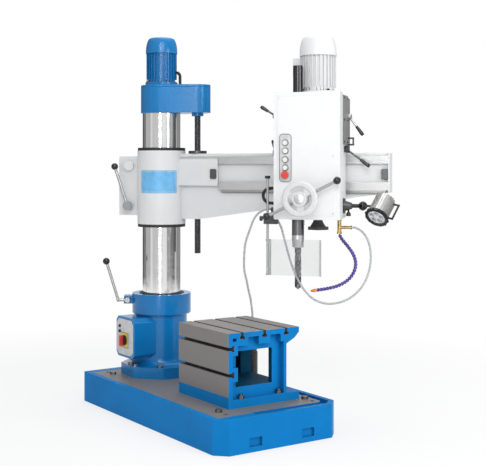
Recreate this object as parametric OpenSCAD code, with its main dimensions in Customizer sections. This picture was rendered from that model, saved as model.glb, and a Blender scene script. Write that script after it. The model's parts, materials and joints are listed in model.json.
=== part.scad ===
// Radial arm drill: base, swinging column, lifted arm, and a drilling head that slides along it.
// +Z is up, +X runs to the front of the base, and the origin is the column axis on the floor.
// The arm's pieces are drawn along X with the operator at -Y, then turned by the swing angle.

/* [Base] */
// Length of the base behind the column axis
base_rear = 254; // [230:1:320]
// Length of the base in front of the column axis
base_front = 1134; // [1090:1:1300]
// Width of the base
base_w = 696; // [660:1:800]
// Height of the base
base_h = 163; // [140:1:190]
// Length of each front corner's chamfer
base_chamfer = 55; // [48:1:80]
// Width of the raised rim around the top
rim_w = 26; // [18:1:34]
// Width of the coolant gutter inside the rim
gutter_w = 38; // [25:1:44]
// Depth of the coolant gutter
gutter_depth = 20; // [10:1:28]
// Thickness of the base's top plate
base_top_t = 48; // [40:1:60]
// Thickness of the base's side walls
base_wall = 30; // [20:1:40]
// Distance of the anchor holes from the base's sides
anchor_edge = 98; // [92:1:105]
// Diameter of an anchor hole
anchor_d = 22; // [16:1:28]

/* [Pedestal and column] */
// Diameter of the column
column_d = 210; // [200:1:216]
// Wall of the column tube
column_wall = 20; // [14:1:26]
// Diameter of the fixed inner pillar
pillar_d = 130; // [110:1:136]
// Height of the column tube's top above the floor
column_top = 1593; // [1580:1:1660]
// Diameter across the pedestal flange's corners
flange_d = 444; // [430:1:480]
// Thickness of the pedestal flange
flange_t = 59; // [45:1:70]
// Diameter of the pedestal's round body
pedestal_d = 280; // [270:1:300]
// Height of the pedestal's top above the floor
pedestal_top = 493; // [480:1:540]
// Outer diameter of the clamp ring
ring_d = 323; // [315:1:340]
// Height of the clamp ring
ring_h = 111; // [80:1:115]
// Diameter of the pedestal's bolt circle
pedestal_bolt_circle = 376; // [360:1:384]
// Length of the column clamp lever's upright
column_lever_l = 205; // [150:1:230]
// Diameter of the balls on the clamp levers
ball_d = 38; // [30:1:44]

/* [Arm] */
// Angle of the arm from the base's long axis
swing = 40; // [20:1:60]
// Height of the arm's top above the floor
arm_top = 1370; // [1360:1:1400]
// Distance of the arm's end from the column axis
arm_reach = 1270; // [1240:1:1400]
// Distance where the guideways start
way_start = 345; // [320:1:380]
// Depth of the arm over its guideways
arm_depth = 100; // [94:1:110]
// Thickness of the arm's web
web_t = 70; // [64:1:80]
// Height of the upper guideway
way_upper_h = 40; // [30:1:50]
// Height of the lower guideway
way_lower_h = 42; // [30:1:50]
// Distance of the upper guideway's top below the arm's top
cap_h = 16; // [10:1:24]
// Distance between the two guideways
recess_h = 97; // [80:1:104]
// Depth of the web below the arm's top at the column
root_drop = 356; // [330:1:370]
// Depth of the web below the arm's top at its end
tip_drop = 206; // [200:1:225]
// Outer diameter of the sleeve on the column
sleeve_d = 266; // [256:1:280]
// Height of the sleeve's lower end above the floor
sleeve_bottom = 985; // [960:1:1000]
// Height of the sleeve's upper end above the floor
sleeve_top = 1387; // [1380:1:1410]
// Height of each wiper ring
wiper_h = 16; // [10:1:22]
// Reach of the sleeve's clamp lug from the column axis
lug_reach = 234; // [215:1:250]
// Length of the arm clamp lever
arm_lever_l = 213; // [170:1:250]

/* [Lift drive] */
// Distance of the lead screw from the column axis
screw_x = 210; // [210:1:210]
// Diameter of the lead screw
screw_d = 35; // [30:1:38]
// Height of the lead screw's lower end above the floor
screw_bottom = 825; // [800:1:900]
// Height of the gear case
case_h = 154; // [140:1:170]
// Radius of the gear case's large end
case_r = 114; // [110:1:125]
// Radius of the gear case's small end
case_end_r = 71; // [69:1:80]
// Diameter of the lift motor over its fins
lift_motor_d = 168; // [160:1:180]
// Height of the lift motor with its fan cover
lift_motor_h = 262; // [240:1:290]

/* [Head] */
// Distance of the head's left side from the column axis
head_start = 738; // [720:1:760]
// Width of the head
head_w = 303; // [298:1:330]
// Depth of the head in front of the guideways, with its front panel
head_depth = 335; // [325:1:360]
// Height of the head's underside above the floor
head_bottom = 1035; // [1025:1:1045]
// Height of the head's top above the floor
head_top = 1667; // [1660:1:1700]
// Thickness of the head's walls
head_wall = 12; // [8:1:12]
// Thickness of the front panel
panel_t = 12; // [8:1:16]
// Diameter of the main motor over its fins
main_motor_d = 186; // [176:1:192]
// Height of the main motor with its fan cover
main_motor_h = 301; // [280:1:330]
// Height of the black spindle cover tube
tube_h = 146; // [130:1:170]
// Diameter of the black spindle cover tube
tube_d = 50; // [46:1:54]

/* [Spindle] */
// Distance of the spindle from the column axis
spindle_x = 828; // [828:1:828]
// Distance of the spindle in front of the arm's middle plane
spindle_f = 235; // [235:1:235]
// Diameter of the quill
quill_d = 62; // [58:1:66]
// Height of the quill's lower end above the floor
quill_bottom = 918; // [900:1:930]
// Diameter of the spindle's upper shaft
spindle_d = 32; // [28:1:36]
// Diameter of the twist drill
drill_d = 33; // [20:1:36]
// Length of the twist drill below the spindle nose
drill_l = 215; // [150:1:220]
// Turns of the drill's flutes
flute_turns = 1.25; // [1:0.25:2]

/* [Controls] */
// Distance of the handwheel's shaft from the column axis
wheel_x = 890; // [890:1:890]
// Height of the handwheel's shaft above the floor
wheel_z = 1140; // [1140:1:1140]
// Outer diameter of the handwheel
wheel_d = 178; // [160:1:190]
// Radial width of the handwheel's rim
wheel_rim_w = 32; // [20:1:36]
// Distance from the feed hub's axis to a lever ball
feed_lever_l = 200; // [160:1:205]
// Width of the push-button plate
button_plate_w = 64; // [56:1:70]
// Height of the push-button plate
button_plate_h = 240; // [230:1:260]
// Diameter of a push button
button_d = 24; // [20:1:28]
// Diameter of the emergency stop
stop_d = 38; // [32:1:42]
// Diameter of the hand knob under the head
knob_d = 108; // [90:1:112]

/* [Box table] */
// Distance of the table's rear end from the column axis
table_x = 507; // [480:1:540]
// Length of the table
table_l = 457; // [430:1:470]
// Width of the table
table_w = 411; // [400:1:430]
// Height of the table above the base
table_h = 353; // [330:1:370]
// Distance of the table's left face from the base's middle
table_left = 187; // [180:1:200]
// Width of a T-slot's neck
slot_w = 16; // [12:1:20]
// Depth of a T-slot
slot_depth = 32; // [28:1:36]
// Distance between the T-slots on top
slot_pitch = 128; // [120:1:130]

/* [Coolant, guard and lamp] */
// Diameter of the coolant hose
hose_d = 11; // [9:0.5:11]
// Number of segments in the jointed coolant hose
segment_n = 28; // [24:1:30]
// Diameter of a hose segment
segment_d = 18; // [12:0.5:20]
// Diameter of the guard's rod
rod_d = 12; // [10:1:14]
// Width of the clear guard
guard_w = 268; // [230:1:275]
// Height of the clear guard
guard_h = 182; // [150:1:185]
// Diameter of the lamp's body
lamp_d = 108; // [96:1:112]
// Length of the lamp's body
lamp_l = 130; // [110:1:134]

/* [Hidden] */
$fn = 64;

// Clearances
cut = 2;
run_gap = 0.05;
side_gap = 0.3;
bolt_gap = 0.5;

// Colours
machine_blue = [0.10, 0.45, 0.74];
paint_white = [0.90, 0.91, 0.91];
iron_grey = [0.50, 0.49, 0.48];
steel = [0.75, 0.76, 0.77];
black = [0.08, 0.08, 0.09];

// Base
gutter_reach = 130;
rib_t = 24;
bolt_r = 10;
bolt_head_r = 17;
bolt_head_h = 13;
level_edge = 60;
level_gap = 46;
pocket_w = 72;
pocket_h = 42;
pocket_depth = 14;
pocket_y = 150;
base_half = base_w / 2;

// Pedestal
flange_top = base_h + flange_t;
flange_rows = 6;
flange_first = 28;
pedestal_floor = 37;
pedestal_fillet = 38;
cavity_gap = 3;
column_r = column_d / 2;
bearing_h = 32;
column_foot = base_h + pedestal_floor + bearing_h;
upper_bearing_h = 30;
pillar_short = 60;
pillar_top = column_top - pillar_short;
ring_top = pedestal_top + ring_h;
ring_chamfer = 5;

// Column clamp, at this angle from +X
clamp_angle = 236;
ear_reach = 44;
ear_w = 64;
ear_h = 44;
ring_slit = 4;
clamp_screw_r = 11;
clamp_z = pedestal_top + ring_h * 2 / 3;
clamp_out = ring_d / 2 + ear_reach / 2;
lever_hub_r = 14;
lever_hub_l = 26;
lever_rod_r = 8;
lever_knuckle_r = 10;
lever_elbow = 52;
lever_lean = 17;

// Main switch
switch_w = 208;
switch_h = 218;
switch_out = 230;
switch_z = 266;
switch_plate_t = 4;
switch_corner = 22;
switch_plate_in = 13;
switch_axis_share = 0.43;
switch_axis_z = switch_z + switch_h * switch_axis_share;
switch_stem_r = 6;
switch_stem_l = 20;
switch_knob_r = 28;
switch_knob_t = 12;
switch_grip_w = 14;
switch_grip_t = 20;

// Gear and rack teeth
pressure_angle = 20;
tooth_gap = 0.5;
flank_points = 4;
big_module = 6;
small_module = 2.5;
tip_share = 0.9;
root_share = 1.25;
lift_pinion_n = 16;
lift_idler_n = 18;
lift_screw_n = 18;
drive_n = 22;
feed_pinion_n = 24;
traverse_pinion_n = 16;
idler_x = big_module * (lift_pinion_n + lift_idler_n) / 2;

// Lift gear case
case_wall = 10;
case_floor = 14;
cover_t = 12;
case_top = column_top + case_h;
screw_r = screw_d / 2;
screw_boss_r = 32;
screw_boss_h = 18;
lift_gear_rise = 46;
lift_gear_z = column_top + lift_gear_rise;
lift_gear_t = 24;
idler_pin_r = 10;
collar_t = 12;
collar_r = 30;

// Both motors
shaft_r = 12;
fin_n = 28;
fin_h = 9;
fin_t = 3.2;
motor_bore_r = 46;
rotor_gap = 4;
motor_foot_share = 0.13;
motor_body_share = 0.54;
motor_end_t = 14;
cover_wall = 3;
cover_lip = 3;
cover_straight_share = 0.12;
cover_flat_share = 0.7;
vent_n = 12;
vent_r = 5;
vent_share = 0.4;
fan_blades = 7;
fan_share = 1.4;
fan_blade_t = 3;
fan_disc_t = 4;
fan_h = 22;
foot_bolt_n = 4;
foot_round_share = 0.4;
foot_bolt_share = 0.5;
foot_bolt_r = 8;
foot_bolt_h = 9;
conduit_r = 6;
conduit_bend = 24;

// Arm
way_front = arm_depth / 2;
web_half = web_t / 2;
way_upper_top = arm_top - cap_h;
way_upper_bottom = way_upper_top - way_upper_h;
way_lower_top = way_upper_bottom - recess_h;
way_lower_bottom = way_lower_top - way_lower_h;
root_bottom = arm_top - root_drop;
tip_bottom = arm_top - tip_drop;
root_front = 58;
root_end = way_start - cut;
root_low = 22;
root_high = 26;
root_z0 = way_lower_bottom + root_low;
root_z1 = way_upper_bottom + root_high;
cap_inset = 8;
cap_half = way_front - cap_inset;
end_plate_t = 8;
lug_half = 46;
lug_low = 46;
lug_high = 30;
lug_z0 = sleeve_bottom + lug_low;
lug_z1 = sleeve_top - lug_high;
lug_slit = 5;
lug_bolt_x = 171;
lug_boss_r = 27;
lug_boss_t = 18;
lug_bolt_in = 52;
lug_bolt_low = lug_z0 + lug_bolt_in;
lug_bolt_high = lug_z1 - lug_bolt_in;
lug_screw_r = 12;
arm_lever_lean = 19.4;
stop_w = 36;
stop_h = 54;
stop_t = 16;
stop_round = 8;
stop_drop = 6;
stop_z = (way_upper_bottom + way_lower_top) / 2 - stop_drop;
plate_t = 1.5;
plate_from = -125;
plate_turn = 93;
plate_rise = 170;
plate_z0 = sleeve_bottom + plate_rise;
plate_h = 124;
nut_flange_r = 50;
nut_flange_t = 16;
nut_r = 28;
nut_l = 90;
screw_room = 3;
rack_t = 14;
rack_z = wheel_z + small_module * traverse_pinion_n / 2;
rack_margin = 14;

// Head
head_end = head_start + head_w;
head_back = way_front + side_gap;
head_front = head_back + head_depth;
panel_back = head_front - panel_t;
head_wide = 31;
wide_in = 80;
wide_f = head_front - wide_in;
shelf_drop = 175;
shelf_z = head_top - shelf_drop;
shelf_t = 18;
drive_gear_drop = 92;
drive_gear_z = head_top - drive_gear_drop;
drive_gear_t = 28;
sleeve_r = 30;
sleeve_boss_r = 44;
sleeve_boss_h = 46;
quill_r = quill_d / 2;
guide_r = 50;
guide_h = 245;
guide_top = head_bottom + guide_h;
quill_over = 20;
quill_top = guide_top + quill_over;
quill_rack_f = 20;
quill_rack_slot = 24;
quill_slot_reach = 7;
feed_r = small_module * feed_pinion_n / 2;
feed_tube_r = 20;
feed_pinion_t = 26;
wheel_shaft_r = 10;
gear_distance = big_module * drive_n;
motor_in = 173;
motor_x = head_start + motor_in;
motor_f = spindle_f - sqrt(gear_distance * gear_distance - (motor_x - spindle_x) * (motor_x - spindle_x));
panel_round = 8;
face_in = 21;
face_t = 2;
panel_screw_r = 5;
panel_screw_h = 4;
panel_screw_edge = 33;
gearbox_in = 24;
gearbox_gap = 8;
gearbox_start = head_start + gearbox_in;
gearbox_back = -75;
gearbox_bottom = arm_top + gearbox_gap;
gearbox_top = head_top - gearbox_gap;
gearbox_wall = 10;
keeper_t = 12;
keeper_drop = 70;
handle_r = 4.5;
handle_knuckle_r = 5.5;
handle_reach = 32;
cheek_t = 8;
cheek_f0 = 30;
cheek_f1 = 150;
cheek_rise = 24;
handle_h = 34;
handle_drop = 236;
handle_z = head_top - handle_drop;
terminal_w = 52;
terminal_out = 31;
terminal_d = 84;
terminal_h = 92;
terminal_rise = 98;
terminal_z = head_top + terminal_rise;
tube_wall = 5;
tube_base_r = 29;
tube_base_t = 8;
tee_in = 15;
tee_x = head_end - tee_in;
tee_f = 150;

// Spindle
spindle_low_r = 20;
spindle_r = spindle_d / 2;
spindle_rise = 14;
spindle_top = head_top + spindle_rise;
nose_r = 29;
nose_h = 30;
nose_bottom = quill_bottom - side_gap - nose_h;
drill_tip_share = 0.3;
flute_r_share = 0.62;
flute_shift_share = 1.01;
shank_r = 11;
shank_l = 20;

// Handwheel and feed levers
wheel_out = 72;
wheel_back = head_front + wheel_out;
wheel_t = 20;
wheel_spoke_w = 34;
wheel_spoke_t = 11;
wheel_spoke_turns = [41, 160, 275];
wheel_hub_r = 37;
wheel_hub_t = 24;
feed_hub_r = 33;
feed_hub_out = 18;
feed_hub_back = head_front + feed_hub_out;
feed_hub_t = 48;
feed_lever_r = 8;
feed_lever_tilt = 27;

// Push buttons
button_plate_in = 62;
button_plate_rise = 306;
button_plate_x = head_start + button_plate_in;
button_plate_z = head_bottom + button_plate_rise;
button_plate_t = 6;
button_plate_round = 18;
button_stem_r = 7;
button_cap_t = 9;
button_room = 5;
button_stem_l = 34;
button_places = [75, 35, -9, -49];
stop_place = -84;
stop_cap_t = 18;

// Hand knob under the head
knob_in = 195;
knob_x = head_start + knob_in;
knob_f = 240;
knob_stem_r = 22;
knob_stem_h = 24;
knob_h = 32;
knob_shaft_r = 10;
knob_lobes = 5;
knob_lobe_r = 15;

// Levers on the head's sides
speed_hub_r = 17;
speed_hub_l = 22;
speed_drop = 108;
speed_z = head_top - speed_drop;
speed_f = 6;
speed_lever_l = 62;
grip_r = 10;
grip_neck_share = 0.75;
grip_swell_share = 0.8;
grip_l = 58;
speed_tilt = 143;
select_drop = 278;
select_in = 40;
select_z = head_top - select_drop;
select_f = head_back + select_in;
select_l = 92;
select_tilt = 127;
range_drop = 112;
range_z = head_top - range_drop;
range_f = 300;
range_l = 46;
range_grip_l = 44;
range_tilt = 58;
lock_drop = 297;
lock_z = head_top - lock_drop;
lock_l = 20;
lock_tilt = 12;
lever_pin_r = 8;
lever_rod_slim_r = 5;

// Box table
table_y0 = -table_left;
table_y1 = table_w - table_left;
table_top = base_h + table_h;
table_end = table_x + table_l;
table_wall = 60;
table_blank = 154;
table_side_in = 76;
table_foot = 40;
table_window_in = 92;
table_window_z0 = base_h + table_window_in;
table_window_z1 = table_top - table_window_in;
table_window_y1 = 83;
table_recess = 32;
table_skin = 24;
boss_w = 66;
boss_drop = 62;
boss_reach = 52;
table_lip_h = 50;
table_lip_chamfer = 26;
slot_head_w = 28;
slot_head_h = 13;
slot_in = 78;
side_slot_drops = [73, 196];
table_bolt_ins = [80, 299];
table_bolt_in = 15;
table_stud_h = 62;

// Coolant pump
pump_x = 445;
pump_y = 290;
pump_r = 40;
pump_foot_r = 44;
pump_foot_h = 14;
pump_h = 150;
pump_cap_h = 20;
pump_cap_r = 36;
pump_outlet_r = 8;
pump_outlet_h = 37.7;

// Guard and hose clip
rod_out = 53;
rod_x = head_start - rod_out;
rod_f = 300;
rod_low = 287;
rod_l = 490;
rod_z0 = head_bottom - rod_low;
rod_z1 = rod_z0 + rod_l;
rod_cap_r = 14;
rod_cap_h = 14;
clip_t = 3;
block_edge = 14;
block_half = 27;
block_f0 = rod_f - block_edge;
block_f1 = rod_f + block_edge + rod_cap_r;
block_x0 = rod_x - block_edge;
block_z0 = head_bottom - block_half;
block_z1 = head_bottom + block_half;
screw_knob_r = 13;
screw_knob_t = 12;
screw_knob_neck = 14;
screw_knob_neck_r = 5;
clip_in = 16;
clip_rise = 18;
clip_x = rod_x + clip_in;
clip_f = 270;
clip_z = block_z1 + clip_rise;
clip_l = 8;
guard_z0 = rod_z0;
guard_t = 4;
guard_edge_w = 9;
guard_edge_t = 8;
guard_sleeve_r = 10;
gland_r = 10;
gland_l = 14;
loop_f = 262;
loop_rise = 115;
loop_z = head_bottom + loop_rise;
loop_r = 38;
loop_out = 48;

// Coolant tee and the jointed hose
hose_r = hose_d / 2;
tee_r = 10;
tee_nut_r = 13;
tee_nut_h = 12;
tee_l = 81.3;
tee_side_drop = 48;
tee_side_r = 8;
tee_side_l = 56;
barb_r = 10;
barb_l = 8;
nozzle_l = 34;
nozzle_r = 4;
segment_gap = 0.8;
segment_neck_share = 0.62;
segment_neck_l_share = 0.2;
segment_swell_share = 0.35;

// Lamp
lamp_f = 160;
lamp_rise = 63;
lamp_z = head_bottom + lamp_rise;
lamp_plate_t = 12;
lamp_plate_w = 76;
lamp_cone_l = 40;
lamp_cone_r0 = 28;
lamp_cone_r1 = 16;
lamp_pin_r = 8;
lamp_pin_l = 20;
lamp_rod_r = 10;
lamp_ball_r = 23;
lamp_ball_x = 108;
lamp_body_x = 200;
lamp_drop = 14;
lamp_ear_t = 12;
lamp_ear_r = 12;
lamp_turn = 20;
lamp_nod = 132;
lamp_wall = 4;
lamp_ring_lip = 6;
lamp_ring_r = lamp_d / 2 + lamp_ring_lip;
lamp_ring_t = 12;
lamp_fin_n = 24;
lamp_fin_h = 4;
lamp_fin_t = 3;
lamp_lens_t = 5;
lamp_handle_r = 5;
lamp_knuckle_r = 6;
lamp_handle_out = 24;
lamp_handle_turn = -15;

// Clear coolant hose from the tee: along the arm, in front of it, height
upper_route = [
  [1091, 150, 987], [1112, 150, 985], [1150, 158, 962], [1180, 172, 915], [1194, 190, 850], [1190, 208, 780],
  [1165, 226, 710], [1120, 240, 655], [1060, 252, 620], [990, 262, 608], [925, 268, 625], [875, 272, 668],
  [835, 275, 730], [805, 275, 800], [783, 275, 870], [765, 273, 935], [748, 270, 990], [729, 270, 1028],
  [724, 270, 1052], [718, 270, 1069], [704, 270, 1079], [687, 270, 1082], [666, 268, 1079], [645, 265, 1071],
  [621, 259, 1055], [597, 250, 1024], [577, 241, 979], [558, 231, 935]
];
// From there down, on the base's axes
mid_route = [
  [575.8, 181.7, 934.7], [560, 180, 897], [546, 184, 849], [534, 190, 801], [524, 200, 750], [516, 219, 700],
  [508, 236, 650], [500, 255, 600]
];
lower_route = [
  [499.9, 255.2, 599.4], [490, 268, 560], [480, 280, 520], [468, 286, 475], [455, 290, 425],
  [446, 290, 390], [445, 290, 371]
];
hose_sides = 10;
route_steps = 3;

// Jointed hose, in the same terms
jointed_route = [
  [1026, 150, 950], [1040, 153, 926], [1072, 164, 892], [1104, 178, 850], [1118, 192, 805], [1108, 206, 760],
  [1078, 218, 722], [1030, 227, 695], [975, 232, 680], [928, 235, 672]
];

// Frames and simple bodies
module on_arm() {
  rotate([0, 0, swing]) children();
}

module at(along, front, z) {
  translate([along, -front, z]) children();
}

// Turns a drawing's own Z towards the operator
module facing_front() {
  rotate([90, 0, 0]) children();
}

// Turns a drawing's own Z along the arm
module facing_along() {
  rotate([0, 90, 0]) children();
}

module block(a, b) {
  translate([a.x, -b.y, a.z]) cube([b.x - a.x, b.y - a.y, b.z - a.z]);
}

module disc(r, h) {
  cylinder(r = r, h = h);
}

module ring(outer, inner, h) {
  difference() {
    disc(outer, h);
    translate([0, 0, -cut]) disc(inner, h + 2 * cut);
  }
}

module round_rect(w, h, r) {
  square([w - 2 * r, h], center = true);
  square([w, h - 2 * r], center = true);
  for (i = [-1, 1]) {
    for (j = [-1, 1]) translate([i * (w / 2 - r), j * (h / 2 - r)]) circle(r);
  }
}

module slab(w, h, r, t) {
  linear_extrude(t) round_rect(w, h, r);
}

module hex_bolt(shank_l) {
  cylinder(r = bolt_head_r, h = bolt_head_h, $fn = 6);
  translate([0, 0, -shank_l]) disc(bolt_r, shank_l);
}

// Rod with a black grip, along +Z from a hub's centre
module gripped_rod(l, rod_r, g_l, g_r) {
  color(steel) disc(rod_r, l);
  color(black) translate([0, 0, l]) rotate_extrude() polygon(
    [[0, 0], [g_r * grip_neck_share, 0], [g_r, g_l * grip_swell_share],
      [g_r * grip_swell_share, g_l], [0, g_l]]
  );
}

// Involute spur gear with a tooth on +X
function involute(a) = tan(a) * 180 / PI - a;
function tooth_half(m, n, rho) =
  90 / n - tooth_gap / 2 / (m * n / 2) * 180 / PI + involute(pressure_angle)
  - involute(acos(min(1, m * n / 2 * cos(pressure_angle) / rho)));
function polar(r, a) = [r * cos(a), r * sin(a)];
function tooth(m, n, turn) =
  let (base_r = m * n / 2 * cos(pressure_angle))
  let (root_r = m * n / 2 - root_share * m)
  let (tip_r = m * n / 2 + tip_share * m)
  let (low_r = max(base_r, root_r))
  let (rho = [for (k = [0:flank_points - 1]) low_r + (tip_r - low_r) * k / (flank_points - 1)])
  concat(
    root_r < low_r ? [polar(root_r, turn - tooth_half(m, n, low_r))] : [],
    [for (r = rho) polar(r, turn - tooth_half(m, n, r))],
    [for (k = [1:flank_points]) polar(rho[flank_points - k], turn + tooth_half(m, n, rho[flank_points - k]))],
    root_r < low_r ? [polar(root_r, turn + tooth_half(m, n, low_r))] : []
  );

module gear(m, n, t, bore) {
  linear_extrude(t) difference() {
    polygon([for (i = [0:n - 1]) each tooth(m, n, 360 / n * i)]);
    if (bore > 0) circle(bore);
  }
}

// Rack with its pitch line on X, a gap at X = 0 and teeth towards +Y
module rack(m, from, to, back, t) {
  pitch = PI * m;
  half = pitch / 4 - tooth_gap / 2;
  slope = tan(pressure_angle);
  first = ceil(from / pitch);
  last = floor(to / pitch) - 1;
  linear_extrude(t) polygon(concat(
    [[to, -root_share * m], [to, -back], [from, -back], [from, -root_share * m]],
    [for (i = [first:last]) each
      let (c = (i + 0.5) * pitch)
      [
        [c - half - root_share * m * slope, -root_share * m],
        [c - half + tip_share * m * slope, tip_share * m],
        [c + half - tip_share * m * slope, tip_share * m],
        [c + half + root_share * m * slope, -root_share * m]
      ]]
  ));
}

// Tube swept along a smooth curve through the route's points
function blend_point(p, i, t) =
  let (a = p[max(i - 1, 0)], b = p[i], c = p[i + 1], d = p[min(i + 2, len(p) - 1)])
  0.5 * (2 * b + (c - a) * t + (2 * a - 5 * b + 4 * c - d) * t * t + (3 * b - a - 3 * c + d) * t * t * t);
function smooth(p, steps) = concat(
  [for (i = [0:len(p) - 2]) for (k = [0:steps - 1]) blend_point(p, i, k / steps)],
  [p[len(p) - 1]]
);
function unit(v) = v / norm(v);
function heading(p, i) = unit(p[min(i + 1, len(p) - 1)] - p[max(i - 1, 0)]);
function aside(h) = unit(cross(h, abs(h.z) < 0.9 ? [0, 0, 1] : [1, 0, 0]));
// Carries the side direction along, without a twist
function carried(p, i, s) =
  let (h = heading(p, i), side = unit(s - h * (s * h)))
  i == len(p) - 1 ? [side] : concat([side], carried(p, i + 1, side));

module swept_tube(route, r) {
  n = len(route);
  sides = carried(route, 0, aside(heading(route, 0)));
  points = [for (i = [0:n - 1]) for (k = [0:hose_sides - 1])
    let (h = heading(route, i), a = 360 / hose_sides * k)
    route[i] + r * (cos(a) * sides[i] + sin(a) * cross(h, sides[i]))];
  walls = [for (i = [0:n - 2]) for (k = [0:hose_sides - 1])
    let (a = i * hose_sides + k, b = i * hose_sides + (k + 1) % hose_sides)
    each [[a, b + hose_sides, b], [a, a + hose_sides, b + hose_sides]]];
  polyhedron(points, concat(
    walls,
    [for (k = [1:hose_sides - 2]) [0, k, k + 1]],
    [for (k = [1:hose_sides - 2])
      [(n - 1) * hose_sides, (n - 1) * hose_sides + k + 1, (n - 1) * hose_sides + k]]
  ));
}

function facing(route) = [for (p = route) [p.x, -p.y, p.z]];

// Base
module base_outline(inset) {
  c = base_chamfer - inset * (2 - sqrt(2));
  x0 = inset - base_rear;
  x1 = base_front - inset;
  w = base_half - inset;
  polygon([[x0, -w], [x1 - c, -w], [x1, c - w], [x1, w - c], [x1 - c, w], [x0, w]]);
}

function anchor_places() = [for (x = [anchor_edge - base_rear, base_front - anchor_edge])
  for (y = [anchor_edge - base_half, base_half - anchor_edge]) [x, y]];
function level_places() = [for (p = anchor_places())
  [p.x > 0 ? p.x - level_edge : -sqrt(max(0, pow(flange_d / 2 + level_gap, 2) - p.y * p.y)), p.y]];
function flange_places() = [for (i = [0:flange_rows - 1])
  polar(pedestal_bolt_circle / 2, flange_first + 360 / flange_rows * i)];
function table_bolt_places() = [for (x = [table_x + table_bolt_in, table_end - table_bolt_in])
  for (y = table_bolt_ins) [x, table_y0 + y]];

module base_plate() {
  color(machine_blue) difference() {
    linear_extrude(base_h) base_outline(0);
    translate([0, 0, base_h - gutter_depth]) linear_extrude(base_h) intersection() {
      difference() {
        base_outline(rim_w);
        base_outline(rim_w + gutter_w);
      }
      translate([-base_rear, -gutter_reach]) square([base_rear + base_front, base_w]);
    }
    translate([0, 0, -cut]) linear_extrude(base_h - base_top_t + cut) difference() {
      base_outline(base_wall);
      square([base_front + base_rear + base_front, rib_t], center = true);
      for (x = [0, table_x + table_bolt_in + rib_t]) translate([x, 0]) square([rib_t, base_w], center = true);
    }
    for (p = anchor_places()) translate([p.x, p.y, 0]) disc(anchor_d / 2, base_h + cut);
    for (p = concat(level_places(), flange_places(), table_bolt_places()))
      translate([p.x, p.y, 0]) disc(bolt_r + bolt_gap, base_h + cut);
    for (y = [-pocket_y, pocket_y])
      translate([base_front - pocket_depth, y - pocket_w / 2, (base_h - pocket_h) / 5])
        cube([pocket_depth + cut, pocket_w, pocket_h]);
  }
}

module base_bolts() {
  color(steel) {
    for (p = level_places()) translate([p.x, p.y, base_h]) hex_bolt(base_top_t);
    for (p = flange_places()) translate([p.x, p.y, flange_top]) hex_bolt(flange_t + base_top_t);
    for (p = table_bolt_places()) translate([p.x, p.y, base_h + table_foot]) {
      hex_bolt(table_foot + base_top_t);
      translate([0, 0, bolt_head_h]) disc(bolt_r, table_stud_h - bolt_head_h - table_foot);
    }
  }
}

// Pedestal and column
module pedestal() {
  r = pedestal_d / 2;
  f = pedestal_fillet;
  color(machine_blue) difference() {
    union() {
      translate([0, 0, base_h]) rotate([0, 0, swing - 22]) cylinder(r = flange_d / 2, h = flange_t, $fn = 8);
      rotate_extrude() difference() {
        polygon([[0, base_h], [r + f, base_h], [r + f, flange_top + f], [r, flange_top + f],
          [r, pedestal_top], [0, pedestal_top]]);
        translate([r + f, flange_top + f]) circle(f);
      }
    }
    translate([0, 0, base_h + pedestal_floor]) disc(column_r + cavity_gap, pedestal_top);
    disc(pillar_d / 2, pedestal_top);
    for (p = flange_places()) translate([p.x, p.y, 0]) disc(bolt_r + bolt_gap, flange_top + cut);
    for (p = flange_places()) translate([p.x, p.y, flange_top])
      disc(bolt_head_r + cavity_gap, pedestal_fillet);
  }
}

module inner_pillar() {
  color(steel) translate([0, 0, base_h]) disc(pillar_d / 2, pillar_top - base_h);
}

module column_bearings() {
  inner = column_r - column_wall;
  color(steel) {
    translate([0, 0, base_h + pedestal_floor])
      ring(column_r - cavity_gap, pillar_d / 2 + cavity_gap, bearing_h);
    translate([0, 0, pillar_top - upper_bearing_h]) ring(inner - run_gap, pillar_d / 2, upper_bearing_h);
  }
}

module clamp_ring() {
  r = ring_d / 2;
  color(machine_blue) difference() {
    union() {
      translate([0, 0, pedestal_top]) rotate_extrude() polygon(
        [[0, 0], [r - ring_chamfer, 0], [r, ring_chamfer], [r, ring_h], [0, ring_h]]
      );
      rotate([0, 0, clamp_angle]) translate([0, -ear_w / 2, clamp_z - ear_h / 2])
        cube([r + ear_reach, ear_w, ear_h]);
    }
    disc(column_r + run_gap, ring_top + cut);
    rotate([0, 0, clamp_angle]) {
      translate([0, -ring_slit / 2, pedestal_top - cut])
        cube([r + ear_reach + cut, ring_slit, ring_h + 2 * cut]);
      translate([clamp_out, 0, clamp_z]) rotate([-90, 0, 0])
        cylinder(r = clamp_screw_r + run_gap, h = ear_w + 2 * cut, center = true);
    }
  }
}

module column_lever() {
  rotate([0, 0, clamp_angle]) translate([clamp_out, ear_w / 2 + side_gap, clamp_z]) {
    color(steel) {
      rotate([-90, 0, 0]) disc(lever_hub_r, lever_hub_l);
      translate([0, -ear_w - side_gap, 0]) rotate([-90, 0, 0]) disc(clamp_screw_r, ear_w + 2 * side_gap);
      translate([0, lever_hub_l / 2, 0]) {
        rotate([0, 90, 0]) disc(lever_rod_r, lever_elbow);
        translate([lever_elbow, 0, 0]) {
          sphere(lever_knuckle_r);
          rotate([0, lever_lean, 0]) disc(lever_rod_r, column_lever_l);
        }
      }
    }
    color(black) translate([lever_elbow, lever_hub_l / 2, 0]) rotate([0, lever_lean, 0])
      translate([0, 0, column_lever_l]) lever_ball(lever_rod_r);
  }
}

// Ball whose flat seat is on the rod's end, along +Z
module lever_ball(rod_r) {
  r = ball_d / 2;
  rise = sqrt(r * r - rod_r * rod_r);
  difference() {
    translate([0, 0, rise]) sphere(r);
    translate([0, 0, -r]) disc(r, r);
  }
}

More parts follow.
